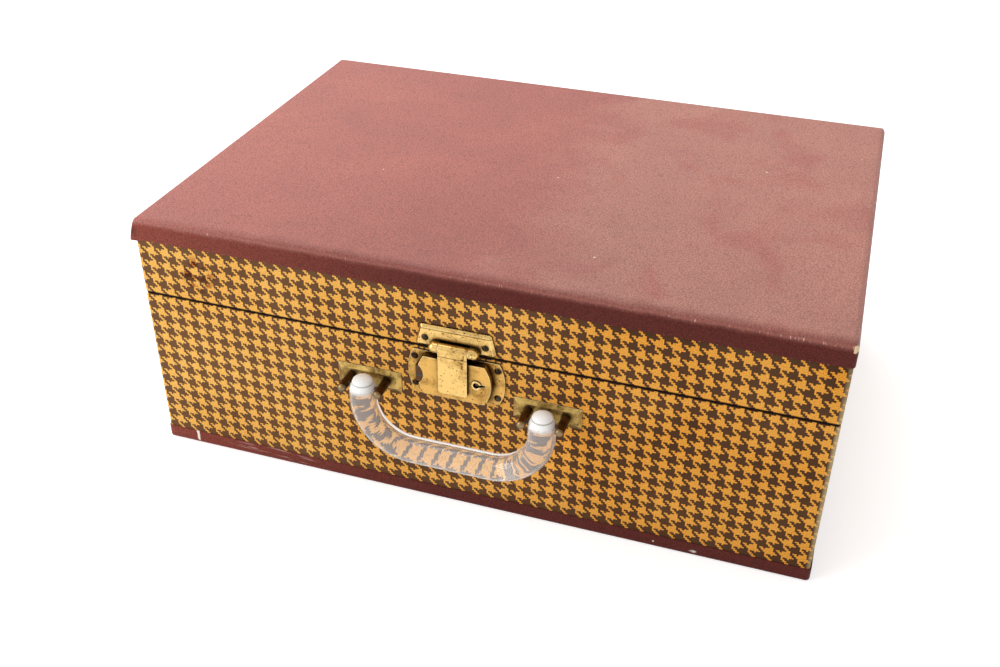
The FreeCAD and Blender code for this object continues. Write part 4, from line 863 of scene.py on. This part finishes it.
base_lining_low, base_lining_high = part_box("base_lining")
lid_lining_low, lid_lining_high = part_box("lid_lining")
lining("base_taffeta", "base", "base_lining", base_lining_high.z, base_lining_low.z + LINING)
lining("lid_taffeta", "lid", "lid_lining", lid_lining_low.z, lid_lining_high.z - LINING)

# %% Rayon taffeta
RIB_MM, WATER_MM = 0.6, 30.0


def taffeta(name, light, shade):
    """Rayon with fine ribs both ways and slow watered shading."""
    material, tree, shader, place = finish(name)
    water = add(
        tree, "TexNoise", {"Vector": place, "Scale": 1 / (WATER_MM * MM), "Detail": 3.0, "Distortion": 1.2}
    )
    colour = add(tree, "Mix", {0: water, MIX_A: srgb(shade), MIX_B: srgb(light)}, **COLOURS)
    ribs = add(tree, "VectorMath", {0: place, "Scale": 2 * math.pi / (RIB_MM * MM)}, operation="SCALE")
    ribs = add(tree, "VectorMath", {0: ribs}, operation="SINE")
    ribs = add(tree, "VectorMath", {0: ribs, 1: (0.33, 0.33, 0.33)}, out="Value", operation="DOT_PRODUCT")
    tone = add(tree, "MapRange", {0: ribs, 1: -1.0, 2: 1.0, 3: 0.86, 4: 1.08})
    colour = add(tree, "Mix", {0: 1.0, MIX_A: colour, MIX_B: tone}, **TINT)
    tree.links.new(colour, shader.inputs["Base Color"])
    shader.inputs["Roughness"].default_value = 0.5
    shader.inputs["Sheen Weight"].default_value = 0.3
    bump = add(tree, "Bump", {"Strength": 0.3, "Distance": 0.05 * MM, "Height": ribs})
    tree.links.new(bump, shader.inputs["Normal"])
    print("made", name)
    return material


lining_cloth = taffeta("rayon_taffeta", "#C9A273", "#A87C4E")
tray_cloth = taffeta("tray_book_cloth", "#B58658", "#93663C")
dress(lining_cloth, "base_taffeta", "lid_taffeta")
dress(tray_cloth, "tray_box", "tray_long_divider", "tray_cross_dividers")

# %% [markdown]
# ## Boards and the mirror
# The boards are thin basswood, planed and left dull. Their grain is a noise
# stretched along the length of the board. The mirror is silvered glass: a
# near-perfect reflector, so it is set up as a metal, with a faint bloom of age.

# %% Basswood
BOARD_MM = (60.0, 60.0, 1.2)
BLACK_FROM, BLACK_TO = 2.6 * MM, 2.2 * MM
wood, tree, shader, place = finish("basswood_board")
grain = add(tree, "Mapping", {"Vector": place, "Scale": [1 / (size * MM) for size in BOARD_MM]})
grain = add(tree, "TexNoise", {"Vector": grain, "Scale": 1.0, "Detail": 5.0, "Roughness": 0.6})
colour = add(tree, "Mix", {0: grain, MIX_A: srgb("#B58E5E"), MIX_B: srgb("#E0C499")}, **COLOURS)
# The boards' rims are painted black where the joint shows: painted shade in the gap.
up = add(tree, "SeparateXYZ", {0: place}, "Z")
joint = add(tree, "Math", {0: up, 1: SEAM}, operation="SUBTRACT")
joint = add(tree, "Math", {0: joint}, operation="ABSOLUTE")
joint = add(tree, "MapRange", {0: joint, 1: BLACK_FROM, 2: BLACK_TO})
colour = add(tree, "Mix", {0: joint, MIX_A: colour, MIX_B: srgb("#140C08")}, **COLOURS)
tree.links.new(colour, shader.inputs["Base Color"])
shader.inputs["Roughness"].default_value = 0.65
shader.inputs["Specular IOR Level"].default_value = 0.05
bump = add(tree, "Bump", {"Strength": 0.2, "Distance": 0.1 * MM, "Height": grain})
tree.links.new(bump, shader.inputs["Normal"])
for side in ("front", "back", "left", "right"):
    dress(wood, f"base_{side}_board", f"lid_{side}_board")
dress(wood, "base_floor_panel", "lid_top_panel")
dress(lining_cloth, "tray_ledge_front", "tray_ledge_back")
print("made basswood_board")

# %% Silvered glass
BLOOM_MM = 25.0
mirror, tree, shader, place = finish("silvered_mirror_glass")
bloom = add(tree, "TexNoise", {"Vector": place, "Scale": 1 / (BLOOM_MM * MM), "Detail": 5.0})
bloom = add(tree, "MapRange", {0: bloom, 1: 0.45, 2: 0.8, 3: 0.02, 4: 0.09})
tree.links.new(bloom, shader.inputs["Roughness"])
shader.inputs["Base Color"].default_value = srgb("#E6EAEA")
shader.inputs["Metallic"].default_value = 1.0
dress(mirror, "mirror")
print("made silvered_mirror_glass")

# %% [markdown]
# ## Floor, light and camera
# The case stands on a white sweep under soft light from a wide source above and
# to the left. The floor takes the shadow. Seen directly, in a reflection or
# through the handle, floor and room are white, while they light the case at a
# plain level. A Light Path node tells the two apart.

# %% Floor
FLOOR_REACH, FLOOR_DROP, FLOOR_GLOW = 6.0, 0.02 * MM, 0.49


def seen_directly(tree):
    """1 for a ray from the camera, off something glossy or through something clear, else 0."""
    direct = 0.0
    for ray in ("Is Camera Ray", "Is Glossy Ray", "Is Transmission Ray"):
        direct = add(tree, "Math", {0: direct, 1: add(tree, "LightPath", {}, ray)}, operation="MAXIMUM")
    return direct


edge = np.linspace(-FLOOR_REACH, FLOOR_REACH, 3)
floor_points = np.stack([*np.meshgrid(edge, edge), np.full((3, 3), -FLOOR_DROP)], axis=-1)
floor_mesh = bpy.data.meshes.new("floor")
floor_mesh.from_pydata(floor_points.reshape(-1, 3).tolist(), [], grid_faces(3, 3).tolist())
floor = bpy.data.objects.new("floor", floor_mesh)
bpy.context.scene.collection.objects.link(floor)
paper, tree, shader, _ = finish("white_paper_sweep")
shader.inputs["Base Color"].default_value = srgb("#F4F4F4")
shader.inputs["Roughness"].default_value = 0.9
shader.inputs["Specular IOR Level"].default_value = 0.1
glow = add(tree, "Math", {0: seen_directly(tree), 1: FLOOR_GLOW}, operation="MULTIPLY")
tree.links.new(glow, shader.inputs["Emission Strength"])
shader.inputs["Emission Color"].default_value = (1, 1, 1, 1)
floor.data.materials.append(paper)
print("the floor is", 2 * FLOOR_REACH, "m wide")

# %% Light
ROOM_LIGHT = 0.62
world = bpy.data.worlds.new("white_room")
bpy.context.scene.world = world
world.use_nodes = True
tree = world.node_tree
level = add(tree, "MapRange", {0: seen_directly(tree), 3: ROOM_LIGHT, 4: 1.0})
tree.links.new(level, tree.nodes["Background"].inputs["Strength"])
tree.nodes["Background"].inputs["Color"].default_value = (1, 1, 1, 1)


def lamp(name, place, target, size, watts):
    """A square soft box at a place, facing a target."""
    light = bpy.data.lights.new(name, "AREA")
    light.size = size
    light.energy = watts
    holder = bpy.data.objects.new(name, light)
    back = np.array(place) - np.array(target)
    tilt = math.atan2(math.hypot(back[0], back[1]), back[2])
    holder.location = place
    holder.rotation_euler = (tilt, 0, math.atan2(back[0], -back[1]))
    bpy.context.scene.collection.objects.link(holder)
    print(name, "has", watts, "W")


CENTRE = (0.0, 0.0, 0.07)
lamp("overhead_softbox", (-0.5, 0.5, 1.5), CENTRE, 1.4, 14.0)
lamp("window_left", (-1.15, -1.0, 0.75), CENTRE, 1.0, 12.0)

# %% Camera
CAMERA_PLACE = (0.15878, -0.55940, 0.40943)
AZIMUTH, ELEVATION, ROLL = 17.95, 33.115, 0.61
LENS_MM, SENSOR_MM = 40.92, 36.0
view = bpy.data.cameras.new("camera")
view.lens, view.sensor_width = LENS_MM, SENSOR_MM
view.clip_start, view.clip_end = 0.01, 50.0
camera = bpy.data.objects.new("camera", view)
camera.matrix_world = (
    Matrix.Translation(CAMERA_PLACE)
    @ Matrix.Rotation(math.radians(AZIMUTH), 4, "Z")
    @ Matrix.Rotation(math.radians(90 - ELEVATION), 4, "X")
    @ Matrix.Rotation(math.radians(ROLL), 4, "Z")
)
bpy.context.scene.collection.objects.link(camera)
bpy.context.scene.camera = camera
bpy.context.scene.view_settings.view_transform = "Standard"
print("the camera looks down", ELEVATION, "degrees")
